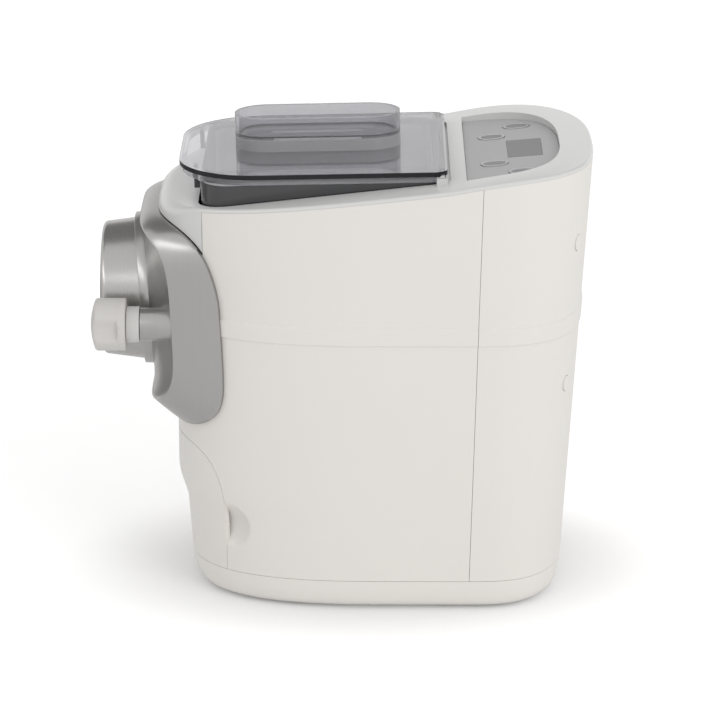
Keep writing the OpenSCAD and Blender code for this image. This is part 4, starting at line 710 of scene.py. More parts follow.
PLUG_X, PLUG_ZS, PLUG_HOLE_R, GLAND_HOLE_R = 64.0, (235.0, 143.0), 5.2, 7.1
for x, z in [(side * PLUG_X, z) for side in (1, -1) for z in PLUG_ZS]:
    spot, facing = rear_place(x, z)
    weld_or_cut(rear_cover, peg("tool", spot, facing, PLUG_HOLE_R, -8, 8), "DIFFERENCE")
gland_spot, gland_facing = rear_place(-45.0, 40.0)
weld_or_cut(rear_cover, peg("tool", gland_spot, gland_facing, GLAND_HOLE_R, -8, 8), "DIFFERENCE")
fit_piece(break_edges(rear_cover, 0.3, 2, 65), cover_white, "housing", "white_shell", "rear_cover")
refinish(cover_white, "screw_plugs")
refinish(dark_plastic, "cord_gland")

# ---- Drawer --------------------------------------------------------------------------
# The arched drawer front follows the body and closes it at the front. Behind it is a plain
# grey tray that slides on the base tray.
SEAM = 0.4
drawer_rows = np.unique(np.round(np.concatenate([[20.4], np.arange(23, 40, 2.5),
    np.arange(40, 80, 2.0), ARCH_Z + 61.6 * np.sin(np.radians(np.linspace(2, 87, 24))) ** (2
        / 2.65)]), 3))
drawer_rows = drawer_rows[np.concatenate([[True], np.diff(drawer_rows) > 0.1])]


def drawer_grid(inset):
    rows = []
    for z in drawer_rows:
        half = spaced(-90, turn_at(arch_edge(z, SEAM), z), z, 60)
        row = outline(half, z, inset)
        rows.append(np.concatenate([row[:0:-1] * [-1, 1, 1], row]))
    return np.array(rows)


verts, faces = wall_between(drawer_grid(0.0), drawer_grid(WALL))
fit_piece(break_edges(moulding("skin_drawer_front", verts, faces, 60), 0.3, 2, 65), cover_white,
          "drawer", "white_shell", "drawer_front")
tray_grey = finish_of("tray_grey", moulded, (0.42, 0.42, 0.43), rough=0.5, scale=800, depth=0.3)
refinish(tray_grey, "drawer_tray")

# ---- Top deck ------------------------------------------------------------------------
# A glossy light grey moulding that clips over the covers: a crowned rim, a soft nose over the
# front panel, the opening for the tub, two hinge ears and the sunk control area.
deck_grey = finish_of("deck_grey", moulded, (0.66, 0.66, 0.65), (0.645, 0.645, 0.635), rough=0.22,
                      scale=500, depth=0.03, spread=0.04)


PANEL_HALF, PANEL_RISE = 77.4, 66.9


def panel_top(x, grow):
    """Height of the front panel's upper edge, grown by a gap."""
    u = min(1, abs(x) / (PANEL_HALF + grow))
    return PANEL_Z + (PANEL_RISE + grow) * (1 - u ** PANEL_CURVE) ** (1 / PANEL_CURVE)


skirt_end = turn_at(-87 - SEAM, RIM_FRONT)
deck_t = np.concatenate([spaced(-90, skirt_end, RIM_FRONT, 44),
                         spaced(skirt_end + 0.05, 100, RIM_FRONT, 110)])


def mirrored(half):
    return np.concatenate([half, half[-2:0:-1] * [-1, 1, 1]])


def deck_rings(inset, shift):
    edge = 2 + 7 * eased((-88 - outline(deck_t, DECK_H)[:, 1]) / 24)
    y = outline(deck_t, DECK_H)[:, 1]
    rings = []
    front = deck_t <= skirt_end + 0.01
    low = []
    for t, f in zip(deck_t, front):
        if not f:
            low.append(None)
            continue
        z = RIM_FRONT - 20.0
        for _ in range(6):
            tz = -90 + (turn_at(-87 - SEAM, z) + 90) * (t + 90) / (skirt_end + 90)
            z = panel_top(outline(tz, z)[0], 0.6)
        low.append(z)
    rim = rim_z(outline(deck_t, RIM_FRONT)[:, 1])
    for part in np.linspace(0, 1, 9):
        ring = []
        for i, t in enumerate(deck_t):
            if front[i]:
                high = rim[i] - edge[i]
                z = low[i] + (high - low[i]) * part
                tz = -90 + (turn_at(-87 - SEAM, z) + 90) * (t + 90) / (skirt_end + 90)
                ring.append(outline(tz, z, inset))
            else:
                z = rim[i] - RIM_DROP - 0.1 * (1 - part)
                ring.append(outline(t, z, inset))
        rings.append(mirrored(np.array(ring)))
    for a in np.linspace(0, 90, 9):
        drop, pull = 1 - math.sin(math.radians(a)), 1 - math.cos(math.radians(a))
        half = outline(deck_t, rim_z(y) - edge * drop, edge * pull + inset)
        rings.append(mirrored(half - [0, 0, shift]))
    return np.array(rings)


outer, inner = deck_rings(0.0, 0.0), deck_rings(3.0, 3.0)
verts, faces = wall_between(outer, inner, ring=True)
rows, cols = outer.shape[:2]
faces = [f for f in faces if not (any((rows - 1) * cols <= v < rows * cols for v in f)
                                  and any(v >= rows * cols for v in f))]
for base_index, flip in (((rows - 1) * cols, False), ((2 * rows - 1) * cols, True)):
    for j in range(cols // 2):
        quad = [base_index + j % cols, base_index + (j + 1) % cols, base_index + (-j - 1) % cols,
                base_index + (-j) % cols]
        quad = list(dict.fromkeys(quad))
        if len(quad) > 2:
            faces.append(tuple(quad[::-1] if flip else quad))
deck = moulding("skin_top_deck", verts, faces, 35)


def leaned_block(name, points, z0, z1, tilt=0.0, about=(0.0, 0.0)):
    """A closed prism on a plan, tilted about a line across the machine at (y, z)."""
    n = len(points)
    verts = np.array([(p[0], p[1], z) for z in (z0, z1) for p in points], float)
    a = math.radians(tilt)
    dy, dz = verts[:, 1] - about[0], verts[:, 2] - about[1]
    verts[:, 1] = about[0] + dy * math.cos(a) - dz * math.sin(a)
    verts[:, 2] = about[1] + dy * math.sin(a) + dz * math.cos(a)
    faces = [(i, (i + 1) % n, n + (i + 1) % n, n + i) for i in range(n)]
    faces += [tuple(range(n - 1, -1, -1)), tuple(range(n, 2 * n))]
    return moulding(name, verts, faces)


def corner(cx, cy, r, a0, a1, n):
    return [(cx + r * math.cos(math.radians(a)), cy + r * math.sin(math.radians(a)))
            for a in np.linspace(a0, a1, n)]


def plan(front, rear, y0, y1, rf, rr, grow=0.0, n=24):
    """Rounded plan: half widths, ends and corner radii at the front and at the rear."""
    right = (corner(front - rf, y0 + rf, rf + grow, -90, 0, n) + corner(rear - rr, y1 - rr,
        rr + grow, 0, 90, n))
    return right + [(-x, y) for x, y in right[::-1]]


weld_or_cut(deck, leaned_block("tool", plan(77.6, 77.6, -90.1, 66.4, 20, 6), 200, 300),
            "DIFFERENCE")
DISH, DISH_LEAN = (76.5, 274.7), 5.0


def control_plan(gap, n=60):
    half = outline(spaced(turn_at(76.5, DECK_H), 100, DECK_H, n), DECK_H, 20.5 + gap)[:, :2]
    half[:, 1] = np.maximum(half[:, 1], 76.5 + gap)
    return [tuple(p) for p in half] + [(-x, y) for x, y in half[-2::-1]]


ledge = square_block("tool", (-77, 63.6, 268), (77, 67.6, 275.2))
weld_or_cut(deck, ledge, "UNION")
weld_or_cut(deck, leaned_block("tool", control_plan(-3), DISH[1] - 3, DISH[1] + 3.4, DISH_LEAN,
                               DISH), "UNION")
weld_or_cut(deck, leaned_block("tool", control_plan(0), DISH[1], DISH[1] + 14, DISH_LEAN, DISH),
            "DIFFERENCE")
key_spots = [(-57.0, 111.4), (-33.5, 94.7), (33.5, 94.7), (57.0, 111.4)]
KEY_L, KEY_W, KEY_GAP = 17.0, 13.0, 0.4


def oval_plan(x, y, length, width, n=24):
    """A plan with straight sides and round ends, its length along Y."""
    s = (length - width) / 2
    r = width / 2
    return corner(x, y + s, r, 0, 180, n) + corner(x, y - s, r, 180, 360, n)


def key_plan(x, y, grow):
    return oval_plan(x, y, KEY_L + 2 * grow, KEY_W + 2 * grow)


for x, y in key_spots:
    weld_or_cut(deck, leaned_block("tool", key_plan(x, y, KEY_GAP), DISH[1] - 8, DISH[1] + 3,
                                   DISH_LEAN, DISH), "DIFFERENCE")
for sign in (1, -1):
    ear = square_block("tool", (sign * 80.8 - 2.6, 57.6, 273), (sign * 80.8 + 2.6, 64.4, 280.5))
    weld_or_cut(deck, ear, "UNION")
fit_piece(break_edges(deck, 0.35, 2, 55), deck_grey, "housing", "deck_shell", "top_deck")

# ---- Control area --------------------------------------------------------------------
# A printed grey overlay is glued into the sunk area, with a dark display window and four oval
# keys. Each key has a bright rim that stands a little proud and a grey face.
overlay_film = finish_of("overlay_film", moulded, (0.47, 0.47, 0.475), rough=0.5, scale=1800,
                         depth=0.08)
display_glass = finish_of("display_glass", flowed, (0.20, 0.202, 0.202), (0.22, 0.222, 0.22),
                          rough=0.4, scale=60, depth=0.01, spread=0.02)
key_silver = finish_of("key_silver", drawn, (0.55, 0.55, 0.55), rough=0.3, scale=400, depth=0.04,
                       Metallic=0.6)
key_symbol = finish_of("key_symbol", moulded, (0.28, 0.28, 0.29), rough=0.5, scale=900, depth=0.1)
overlay = leaned_block("skin_control_overlay", control_plan(0.3), DISH[1], DISH[1] + 1.2,
                       DISH_LEAN, DISH)
for x, y in key_spots:
    weld_or_cut(overlay, leaned_block("tool", key_plan(x, y, KEY_GAP), DISH[1] - 2, DISH[1] + 3,
                                      DISH_LEAN, DISH), "DIFFERENCE")
weld_or_cut(overlay, leaned_block("tool", plan(21.4, 21.4, 103.6, 125.6, 1, 1, 0, 6), DISH[1] - 2,
                                  DISH[1] + 3, DISH_LEAN, DISH), "DIFFERENCE")
fit_piece(break_edges(overlay, 0.2, 2, 50), overlay_film, "housing", "overlay_grey",
          "control_overlay")
window = leaned_block("skin_display_window", plan(21.3, 21.3, 103.7, 125.5, 0.9, 0.9, 0, 6),
                      DISH[1], DISH[1] + 1.3, DISH_LEAN, DISH)
fit_piece(break_edges(window, 0.15, 2, 50), display_glass, "housing", "display_black",
          "display_window")
for i, (x, y) in enumerate(key_spots):
    key = leaned_block("skin_button_%d" % (i + 1), key_plan(x, y, 0), DISH[1] - 4.9,
                       DISH[1] + 1.7, DISH_LEAN, DISH)
    weld_or_cut(key, leaned_block("tool", key_plan(x, y, -1.5), DISH[1] + 1.25, DISH[1] + 3,
                                  DISH_LEAN, DISH), "DIFFERENCE")
    fit_piece(break_edges(key, 0.3, 3, 50), key_silver, "key_%d" % (i + 1), "button_silver",
              "button_%d" % (i + 1))
    cap = leaned_block("key_face_%d" % (i + 1), key_plan(x, y, -1.6), DISH[1] + 0.6,
                       DISH[1] + 1.5, DISH_LEAN, DISH)
    fit_piece(break_edges(cap, 0.25, 2, 50), key_symbol, "key_%d" % (i + 1), "button_silver")

# ---- Front panel ---------------------------------------------------------------------
# A moulded fascia in satin silver lacquer. It flares from its outline up to a rounded crease,
# inside which a dished face surrounds the die cap, with two bosses for the locking knobs.
satin_silver = finish_of("satin_silver", drawn, (0.42, 0.41, 0.40), (0.40, 0.39, 0.385),
                         rough=0.30, scale=160, depth=0.03, spread=0.05, Metallic=0.9)
KNOB_X, KNOB_Z = 64.0, 181.5


def front_face_y(x, z, inset=0.0):
    u = np.minimum(1, np.abs(x) / (half_width(z) - inset))
    return 30 - (30 - front_y(z) - inset) * (1 - u ** 3) ** (1 / 2.7)


def squared_oval(a, power):
    c, s = np.cos(a), np.sin(a)
    return np.sign(c) * np.abs(c) ** (2 / power), np.sign(s) * np.abs(s) ** (2 / power)


def panel_edge(a, lift):
    dx, dz = squared_oval(a, PANEL_CURVE)
    x, z = (PANEL_HALF + lift) * dx, PANEL_Z + PANEL_RISE * dz
    return np.stack([x, front_face_y(x, z, -lift), z], -1)


def crease(a, back):
    dx, dz = squared_oval(a, 4.9)
    x, z = 75.0 * dx, 184.0 + 57.2 * dz
    return np.stack([x, -126.1 + 18.3 * np.abs(dx) ** 4.6 + 0.051 * (DRIVE_Z - z) + back, z], -1)


def collar(a, r, back):
    x, z = r * np.cos(a), DRIVE_Z + r * np.sin(a)
    return np.stack([x, -130.2 + 2.4 * (x / 46.6) ** 2 + 0.06 * (DRIVE_Z - z) + back, z], -1)


def flare(a, u, back):
    e, c = panel_edge(a, (-0.1 if u == 0 else 1.0) if back > 0 else 2.2), crease(a, back)
    k = 0.16 * 4 * u * (1 - u) * (0.6 + 0.4 * np.sin(a))
    out = np.stack([e[:, 0] - c[:, 0], np.full(len(a), -6.0), e[:, 2] - c[:, 2]], -1)
    return e + (c - e) * u + out * k[:, None]


panel_a = np.linspace(0, 2 * math.pi, 240, endpoint=False)


def panel_rings(back):
    rings = [flare(panel_a, u, back) for u in np.linspace(0, 0.97, 16)]
    c, foot = crease(panel_a, back), collar(panel_a, 48.6, 5.6 + back)
    for f, push in ((0.0, 0.25), (0.02, 0.55), (0.05, 0.95), (0.1, 1.2), (0.3, 0.95), (0.5, 0.7),
                    (0.7, 0.4),
                    (0.88, 0.16), (0.97, 0.0)):
        rings.append(c * (1 - f) + foot * f + [0, push, 0])
    if back > 0:
        rings += [foot - [0, 0.4, 0], collar(panel_a, 47.6, back + 5.1),
                  collar(panel_a, 46.6, back + 5.6)]
    else:
        rings += [foot, collar(panel_a, 48.45, 0.35), collar(panel_a, 48.1, 0.0),
                  collar(panel_a, 46.9, 0.0), collar(panel_a, 46.6, 0.35)]
    return rings


front_rings, back_rings = panel_rings(0), panel_rings(2)
while len(back_rings) < len(front_rings):
    back_rings.append(back_rings[-1] + [0, 0.05, 0])
verts, faces = wall_between(np.array(front_rings), np.array(back_rings), ring=True)
panel = moulding("skin_front_panel", verts, faces, 60)


def lathe(name, profile, x, z, sides=128, sharp=40):
    """A turned piece about a line along Y, closed, from (radius, y) points."""
    ring = np.linspace(0, 2 * math.pi, sides, endpoint=False)
    rows = [np.stack([x + r * np.cos(ring), np.full(sides, y), z + r * np.sin(ring)], -1) for r,
            y in profile]
    verts = np.concatenate(rows)
    faces = []
    for i in range(len(profile)):
        k = (i + 1) % len(profile)
        for j in range(sides):
            faces.append((i * sides + j, i * sides + (j + 1) % sides, k * sides + (j + 1) % sides,
                          k * sides + j))
    return moulding(name, verts, faces, sharp)


def rounded(points, radius, steps=4):
    """Rounds the corners of a closed profile."""
    out = []
    n = len(points)
    for i in range(n):
        p, q, s = (np.array(points[k % n], float) for k in (i - 1, i, i + 1))
        a, b = p - q, s - q
        la, lb = np.linalg.norm(a), np.linalg.norm(b)
        r = min(radius, 0.45 * la, 0.45 * lb)
        a, b = q + a / la * r, q + b / lb * r
        for u in np.linspace(0, 1, steps):
            out.append(tuple((1 - u) ** 2 * a + 2 * u * (1 - u) * q + u * u * b))
    return out


fit_piece(panel, satin_silver, "housing", "silver_panel", "front_panel")
for sign, side in ((1, "right"), (-1, "left")):
    boss = lathe("boss_" + side, rounded([(4.6, -107), (10.5, -107), (10.5, -127.1),
                                          (4.6, -127.1)], 0.5), sign * KNOB_X, KNOB_Z, 96)
    fit_piece(boss, satin_silver, "housing", "silver_panel")

# ---- Shaping disc and die cap --------------------------------------------------------
# The white shaping disc closes the tube. Its holes give the pasta its shape, and the turned
# cap in satin silver screws over it with a flat lip.
disc_low, disc_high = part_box("shaping_disc")
disc_sizes = {"radius": (disc_high.x - disc_low.x) / 2, "thickness": disc_high.y - disc_low.y,
              "hole": 0.0026, "outer_ring": 0.02, "outer_count": 12, "inner_ring": 0.011,
              "inner_count": 6, "seat": 0.00405}
disc, given = form_tree("disc_form", disc_sizes)
plate = step(disc, "MeshCylinder", Vertices=96, Radius=given["radius"], Depth=given["thickness"])
drill = step(disc, "MeshCylinder", Vertices=24, Radius=given["hole"],
             Depth=worked_out(disc, given["thickness"], 1.5, "MULTIPLY"))
holes = []
for ring in ("outer", "inner"):
    spots = step(disc, "MeshCircle", Vertices=given[ring + "_count"],
                 Radius=given[ring + "_ring"])
    drills = step(disc, "InstanceOnPoints", Points=spots, Instance=drill)
    holes.append(step(disc, "RealizeInstances", Geometry=drills))
seat = step(disc, "MeshCylinder", Vertices=32, Radius=given["seat"], Depth=given["thickness"])
holes.append(raised(disc, seat, worked_out(disc, given["thickness"], 0.5, "MULTIPLY")))
end_tree(disc, given, step(disc, "MeshBoolean", operation="DIFFERENCE", solver="EXACT",
                           Mesh_1=plate, Mesh_2=holes))
grow_piece("skin_shaping_disc", disc, disc_sizes, food_white, "housing", "food_plastic",
           "shaping_disc", Matrix.Translation((0, (disc_low.y + disc_high.y) / 2, DRIVE_Z / 1000))
           @ Matrix.Rotation(-math.pi / 2, 4, "X"))

cap_silver = finish_of("cap_silver", turned, (0.45, 0.44, 0.43), (0.43, 0.42, 0.41), rough=0.28,
                       scale=90, depth=0.03, spread=0.06, Metallic=0.92)
CAP_BACK, CAP_FRONT, CAP_R, CAP_BORE_R = -124.7, -153.7, 46.0, 40.0
cap_profile = ([(CAP_BORE_R, CAP_BACK), (CAP_R - 0.3, CAP_BACK), (CAP_R, CAP_BACK - 0.3)]
               + [(39.2 + 3.5 * math.cos(math.radians(a)),
                   CAP_FRONT + 3.5 - 3.5 * math.sin(math.radians(a))) for a in np.linspace(0, 90,
                       12)] + [(33.9, CAP_FRONT), (33.4, CAP_FRONT + 0.25),
                               (31.2, CAP_FRONT + 3.4), (31.3, CAP_FRONT + 3.6),
                               (CAP_BORE_R, CAP_FRONT + 3.6)])
fit_piece(lathe("skin_die_cap", cap_profile, 0, DRIVE_Z, 192, 30), cap_silver, "cap",
          "silver_panel", "die_cap")

# ---- Locking knobs -------------------------------------------------------------------
# Soft satin grips with two scooped sides and a domed face, each with a thrust collar and a
# threaded stud that screws into a brass sleeve behind the panel.
knob_grey = finish_of("knob_grey", moulded, (0.62, 0.60, 0.575), rough=0.48, scale=1400,
                      depth=0.15)
knob_collar = finish_of("knob_collar", moulded, (0.60, 0.59, 0.575), rough=0.36, scale=900,
                        depth=0.06)
GRIP_Y, KNOB_FRONT, KNOB_R, DOME_R, STUD_R = -135.9, -157.9, 16.5, 44.0, 4.6
SCOOP_AT, SCOOP_WIDE, BLEND = 26.1, 13.0, 1.1


def knob_radius(a):
    """The grip's plan: a circle with two scoops, blended."""
    c = np.abs(np.cos(a))
    s = np.sin(a)
    root = SCOOP_WIDE ** 2 - (SCOOP_AT * s) ** 2
    scoop = np.where(root > 0, SCOOP_AT * c - np.sqrt(np.maximum(root, 0)), 40)
    h = np.clip(0.5 + 0.5 * (scoop - KNOB_R) / (2 * BLEND), 0, 1)
    return scoop * (1 - h) + KNOB_R * h - 2 * BLEND * h * (1 - h)


knob_a = np.linspace(0, 2 * math.pi, 180, endpoint=False)
grip = knob_radius(knob_a)
rounds = [(np.full_like(grip, STUD_R), GRIP_Y), (np.full_like(grip, 15.9), GRIP_Y),
          (np.full_like(grip, 16.35), GRIP_Y - 0.2), (np.full_like(grip, KNOB_R), GRIP_Y - 0.7),
          (np.full_like(grip, KNOB_R), GRIP_Y - 4.2),
          (np.minimum(16.3, grip + 2.5), GRIP_Y - 4.8),
          (np.minimum(16.45, grip + 0.8), GRIP_Y - 5.2), (grip, GRIP_Y - 6.0)]
for y in np.linspace(GRIP_Y - 7, KNOB_FRONT + 4.6, 8):
    rounds.append((grip, y))
for u in np.linspace(0, 90, 9)[1:]:
    k = 1 - 0.075 * (1 - math.cos(math.radians(u)))
    dome = KNOB_FRONT + DOME_R - np.sqrt(DOME_R ** 2 - (grip * k) ** 2)
    rounds.append((grip * k, (KNOB_FRONT + 4.6) * (1 - math.sin(math.radians(u))) + dome
                   * math.sin(math.radians(u))))
for k in (0.85, 0.7, 0.5, 0.3, 0.12):
    rounds.append((grip * k, KNOB_FRONT + DOME_R - np.sqrt(DOME_R ** 2 - (grip * k) ** 2)))
for sign, side in ((1, "right"), (-1, "left")):
    verts = [np.stack([sign * KNOB_X + r * np.cos(knob_a), np.broadcast_to(y, r.shape),
                       KNOB_Z + r * np.sin(knob_a)], -1) for r, y in rounds]
    n = len(knob_a)
    faces = [(i * n + j, i * n + (j + 1) % n, (i + 1) * n + (j + 1) % n, (i + 1) * n + j)
             for i in range(len(rounds) - 1) for j in range(n)]
    faces.append(tuple(range((len(rounds) - 1) * n, len(rounds) * n)))
    stud = [(4.6, -135.9), (4.0, -135.5), (4.0, -90)]
    verts += [np.stack([sign * KNOB_X + r * np.cos(knob_a), np.full(n, y),
                        KNOB_Z + r * np.sin(knob_a)], -1) for r, y in stud[1:]]
    last = len(rounds) * n
    faces += [(j, (j + 1) % n, last + (j + 1) % n, last + j) for j in range(n)]
    faces += [(last + j, last + (j + 1) % n, last + n + (j + 1) % n, last + n + j)
              for j in range(n)]
    faces.append(tuple(range(last + n, last + 2 * n)))
    fit_piece(moulding("skin_knob_" + side, np.concatenate(verts), faces, 50), knob_grey,
              "knob_" + side, "knob_grey", "locking_knob_" + side)
    ring = lathe("skin_collar_" + side, rounded([(4.2, -127.4), (11.3, -127.4), (11.3, -135.6),
        (4.2, -135.6)], 0.6), sign * KNOB_X, KNOB_Z, 96)
    fit_piece(ring, knob_collar, "knob_" + side, "silver_panel", "knob_collar_" + side)

# ---- Lid and its seal ----------------------------------------------------------------
# One clear smoky moulding: a thin plate with a low skirt, hinged at its rear, and the oval
# upstand for filling, whose floor has a slot. Its polished edges are painted nearly black, painted
# shade for the dark look that refraction gives clear plastic at its edges. The upstand's lower
# walls are painted a lighter, less clear grey as a painted reflection, and its floor a darker grey
# as painted shade. A grey rubber bead in a groove below the plate seals it to the tub.
lid_clear = finish_of("lid_clear", flowed, (0.72, 0.715, 0.745), (0.70, 0.695, 0.725), rough=0.03,
                      scale=40, depth=0.01, spread=0.02, Transmission_Weight=0.86, IOR=1.5)
# Painted shade: near black for the lid's polished edges, which the clear plastic only shows dark
# through refraction.
lid_edge_painted_dark = finish_of("lid_edge_painted_dark", flowed, (0.016, 0.016, 0.02), (0.01, 0.01, 0.013), rough=0.25,
                     scale=60, depth=0.02, Specular_IOR_Level=0.25)
HINGE = (61.0, 280.5)
LID_LEAN, PLATE_T, SKIRT_DROP, SPOUT_TOP, CUP_FLOOR = 1.2, 3.0, 3.8, 304.8, (290, 292)
SPOUT_Y, SPOUT_L, SPOUT_W, SPOUT_WALL = -16.3, 104.5, 40.0, 2.2
SLOT_L, SLOT_W = 58, 7


def lid_block(name, points, z0, z1):
    return leaned_block(name, points, z0, z1, LID_LEAN, HINGE)


def lid_plan(shrink):
    return plan(77, 77.5, -103, 64.5, 50, 8, -shrink, 32)


def spout_plan(shrink=0.0):
    return oval_plan(0, SPOUT_Y, SPOUT_L - 2 * shrink, SPOUT_W - 2 * shrink, 48)


lid = lid_block("skin_lid", lid_plan(0), HINGE[1], HINGE[1] + PLATE_T)
skirt = lid_block("tool", lid_plan(1.6), HINGE[1] - SKIRT_DROP, HINGE[1] + 0.4)
weld_or_cut(skirt, lid_block("hollow", lid_plan(3.6), HINGE[1] - SKIRT_DROP - 1, 282),
            "DIFFERENCE")
weld_or_cut(lid, skirt, "UNION")
weld_or_cut(lid, lid_block("tool", spout_plan(), HINGE[1] + 0.4, SPOUT_TOP), "UNION")
for shrink, low, high in ((SPOUT_WALL, CUP_FLOOR[1] + 0.9, 307),
                          (SPOUT_WALL + 0.7, CUP_FLOOR[1], CUP_FLOOR[1] + 1),
                          (SPOUT_WALL, 279, CUP_FLOOR[0])):
    weld_or_cut(lid, lid_block("tool", spout_plan(shrink), low, high), "DIFFERENCE")
weld_or_cut(lid, lid_block("tool", oval_plan(0, SPOUT_Y, SLOT_L, SLOT_W, 24), 289, 293),
            "DIFFERENCE")
weld_or_cut(lid, square_block("tool", (-73.2, 58, 270), (73.2, 70, 279.3)), "DIFFERENCE")
for sign in (1, -1):
    weld_or_cut(lid, square_block("tool", (min(sign * 77.6, sign * 101), 56.4, 269),
                                  (max(sign * 77.6, sign * 101), 80, 290)), "DIFFERENCE")
fit_piece(break_edges(lid, 0.3, 3, 50), lid_clear, "lid", "clear_lid", "lid")
# Painted reflection: a lighter, less clear grey for the upstand's lower walls, standing in for the
# reflection they show.
lid_foot_painted_light = finish_of("lid_foot_painted_light", flowed, (0.56, 0.555, 0.575), (0.48, 0.475, 0.495), rough=0.2,
                     scale=90, depth=0.05, Transmission_Weight=0.4)
# Painted shade: a darker grey for the upstand's floor.
lid_floor_painted_shade = finish_of("lid_floor_painted_shade", flowed, (0.16, 0.158, 0.168), (0.13, 0.128, 0.138), rough=0.1,
                      scale=60, depth=0.02, Transmission_Weight=0.45)
for finish in (lid_edge_painted_dark, lid_foot_painted_light, lid_floor_painted_shade):
    lid.data.materials.append(finish)
lean = math.tan(math.radians(LID_LEAN))
work = bmesh.new()
work.from_mesh(lid.data)
bmesh.ops.bisect_plane(work, geom=work.verts[:] + work.edges[:] + work.faces[:],
                       plane_co=Vector((0, HINGE[0], HINGE[1] + 10.6)) / 1000,
                       plane_no=Vector((0, -lean, 1)))
work.to_mesh(lid.data)
work.free()
# Edge faces take the painted dark, the upstand's lower walls the painted lighter grey and its
# floor the painted darker grey.
for face in lid.data.polygons:
    x, y, z = face.center * 1000
    level = z - HINGE[1] + (HINGE[0] - y) * lean
    spout = math.hypot(x, max(0, abs(y - SPOUT_Y) - 34)) < 24
    if (not spout and abs(face.normal.z) < 0.6 and -0.1 < level < 3.1) or (spout
        and 11.7 < level < 12.35):
        face.material_index = 1
    elif spout and abs(face.normal.z) < 0.5 and 3.1 < level < 9.6:
        face.material_index = 2
    elif spout and abs(face.normal.z) > 0.8 and 9 < level < 12:
        face.material_index = 3
refinish(dark_plastic, "lid_latch_tabs")
refinish(steel, "lid_hinge_pins")
seal_sizes = {"across": 0.1302, "along": 0.1432, "corner": 0.012, "width": 0.0038,
              "height": 0.0037, "rounding": 0.0009}
bead, given = form_tree("seal_form", seal_sizes)
path = step(bead, "CurvePrimitiveQuadrilateral", Width=given["across"], Height=given["along"])
path = step(bead, "FilletCurve", mode="POLY", Curve=path, Count=10, Radius=given["corner"])
section = step(bead, "CurvePrimitiveQuadrilateral", Width=given["width"], Height=given["height"])
section = step(bead, "FilletCurve", mode="POLY", Curve=section, Count=3, Radius=given["rounding"])
end_tree(bead, given, step(bead, "CurveToMesh", Curve=path, Profile_Curve=section))
hinge = Vector((0, *HINGE)) / 1000
seal_middle = Vector((0, -0.014, 0.27865))
grow_piece("skin_lid_seal", bead, seal_sizes, seal_grey, "lid", "seal_rubber", "lid_seal",
           Matrix.Translation(hinge) @ Matrix.Rotation(math.radians(LID_LEAN), 4, "X")
           @ Matrix.Translation(seal_middle - hinge))

# ---- Floor and light -----------------------------------------------------------------
# A pale studio floor that shows white to the camera and keeps the cast shadow, with a painted
# shadow that darkens it round the base, under soft light.
# Dark cards that only reflections show give the lacquered panel its tones.
floor_mesh = bpy.data.meshes.new("floor")
floor_mesh.from_pydata([(-6, -6, 0), (6, -6, 0), (6, 6, 0), (-6, 6, 0)], [], [(0, 1, 2, 3)])
floor = bpy.data.objects.new("floor", floor_mesh)
scene.collection.objects.link(floor)
floor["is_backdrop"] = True
pale = bpy.data.materials.new("pale_floor")
pale.use_nodes = True
tree = pale.node_tree
tree.nodes.remove(tree.nodes["Principled BSDF"])
# Painted shadow: the floor's colour and glow are darkened in a soft ring round the base.
around = node_of(tree, "ShaderNodeMapping", {
    "Vector": node_of(tree, "ShaderNodeTexCoord").outputs["Object"], "Location": (0, -0.16, 0),
    "Scale": (10.6, 8.1, 0)})
far = node_of(tree, "ShaderNodeVectorMath", {0: around.outputs[0]}, operation="LENGTH")
shade = node_of(tree, "ShaderNodeMapRange", {
    "Value": far.outputs["Value"], "From Min": 0.9, "From Max": 1.75, "To Min": 0.76},
    interpolation_type="SMOOTHSTEP").outputs["Result"]
shown = node_of(tree, "ShaderNodeBsdfDiffuse", {"Color": shade})
glow = node_of(tree, "ShaderNodeEmission", {
    "Strength": worked_out(tree, shade, 0.22, "MULTIPLY")})
bright = node_of(tree, "ShaderNodeBsdfDiffuse", {"Color": (0.97, 0.97, 0.97, 1)})
seen = node_of(tree, "ShaderNodeAddShader", {0: shown.outputs[0], 1: glow.outputs[0]})
pick = node_of(tree, "ShaderNodeMixShader", {
    "Fac": node_of(tree, "ShaderNodeLightPath").outputs["Is Camera Ray"], 1: bright.outputs[0],
    2: seen.outputs[0]})
tree.links.new(pick.outputs[0], tree.nodes["Material Output"].inputs["Surface"])
floor_mesh.materials.append(pale)

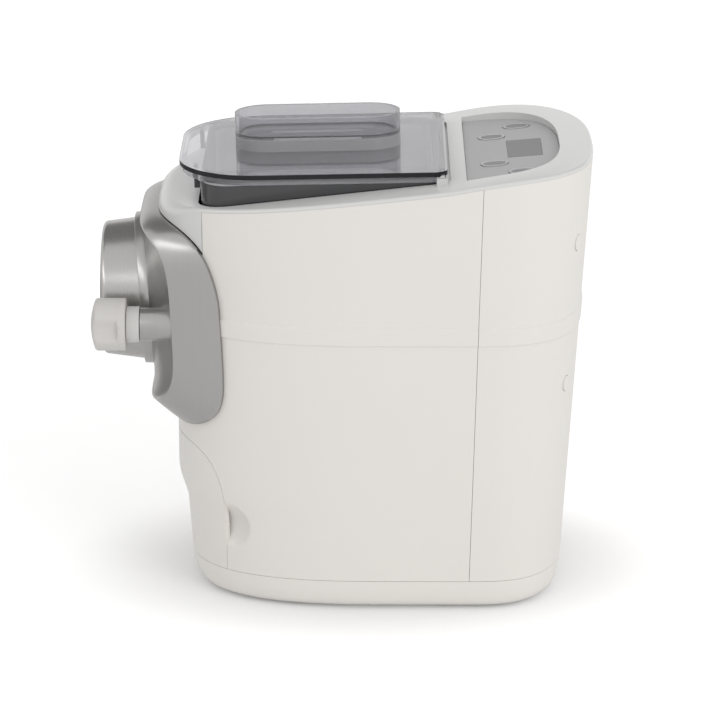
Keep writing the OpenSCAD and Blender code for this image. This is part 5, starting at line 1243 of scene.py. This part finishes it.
world = bpy.data.worlds.new("studio")
scene.world = world
world.use_nodes = True
tree = world.node_tree
rays = node_of(tree, "ShaderNodeLightPath").outputs
seen = worked_out(tree, rays["Is Camera Ray"], rays["Is Glossy Ray"], "MAXIMUM")
seen = worked_out(tree, seen, rays["Is Transmission Ray"], "MAXIMUM")
level = node_of(tree, "ShaderNodeMapRange", {"Value": seen, "To Min": 0.8, "To Max": 1.0})
tree.links.new(level.outputs["Result"], tree.nodes["Background"].inputs["Strength"])
tree.nodes["Background"].inputs["Color"].default_value = (1, 1, 1, 1)


def lamp(name, at, to, size, power):
    data = bpy.data.lights.new(name, "AREA")
    data.shape = "RECTANGLE"
    data.size, data.size_y = size
    data.energy = power
    lamp_object = bpy.data.objects.new(name, data)
    lamp_object.location = at
    lamp_object.rotation_euler = (Vector(at) - Vector(to)).to_track_quat("Z", "Y").to_euler()
    scene.collection.objects.link(lamp_object)
    return lamp_object


lamp("side_light", (2.2, 1.6, 1.5), (0, 0, 0.15), (1.6, 1.4), 20).visible_glossy = False
lamp("front_light", (1.36, -1.75, 1.45), (0, 0, 0.15), (2.3, 0.55), 9).visible_diffuse = False


def flag(name, corners):
    """A dark studio card that only reflections show."""
    mesh = bpy.data.meshes.new(name)
    mesh.from_pydata(corners, [], [(0, 1, 2, 3)])
    card = bpy.data.objects.new(name, mesh)
    scene.collection.objects.link(card)
    card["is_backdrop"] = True
    card.visible_camera = card.visible_diffuse = False
    card.visible_shadow = card.visible_transmission = False
    grey = bpy.data.materials.new(name)
    grey.use_nodes = True
    tree = grey.node_tree
    tree.nodes.remove(tree.nodes["Principled BSDF"])
    dim = node_of(tree, "ShaderNodeEmission", {"Strength": 0.26})
    tree.links.new(dim.outputs[0], tree.nodes["Material Output"].inputs["Surface"])
    mesh.materials.append(grey)


flag("far_card", [(-2.2, -2.6, 1.15), (-2.2, 2.6, 1.15), (-1.9, 2.6, 2.4), (-1.9, -2.6, 2.4)])
flag("low_card", [(-1.9, -1.9, 0.02), (-0.12, -1.9, 0.02), (-0.12, -0.34, 0.02),
                  (-1.9, -0.34, 0.02)])
flag("high_card", [(-1.9, -2.6, 2.4), (-1.9, 2.6, 2.4), (-0.25, 2.6, 2.6), (-0.25, -2.6, 2.6)])

scene.view_settings.view_transform = "Standard"

low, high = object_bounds()
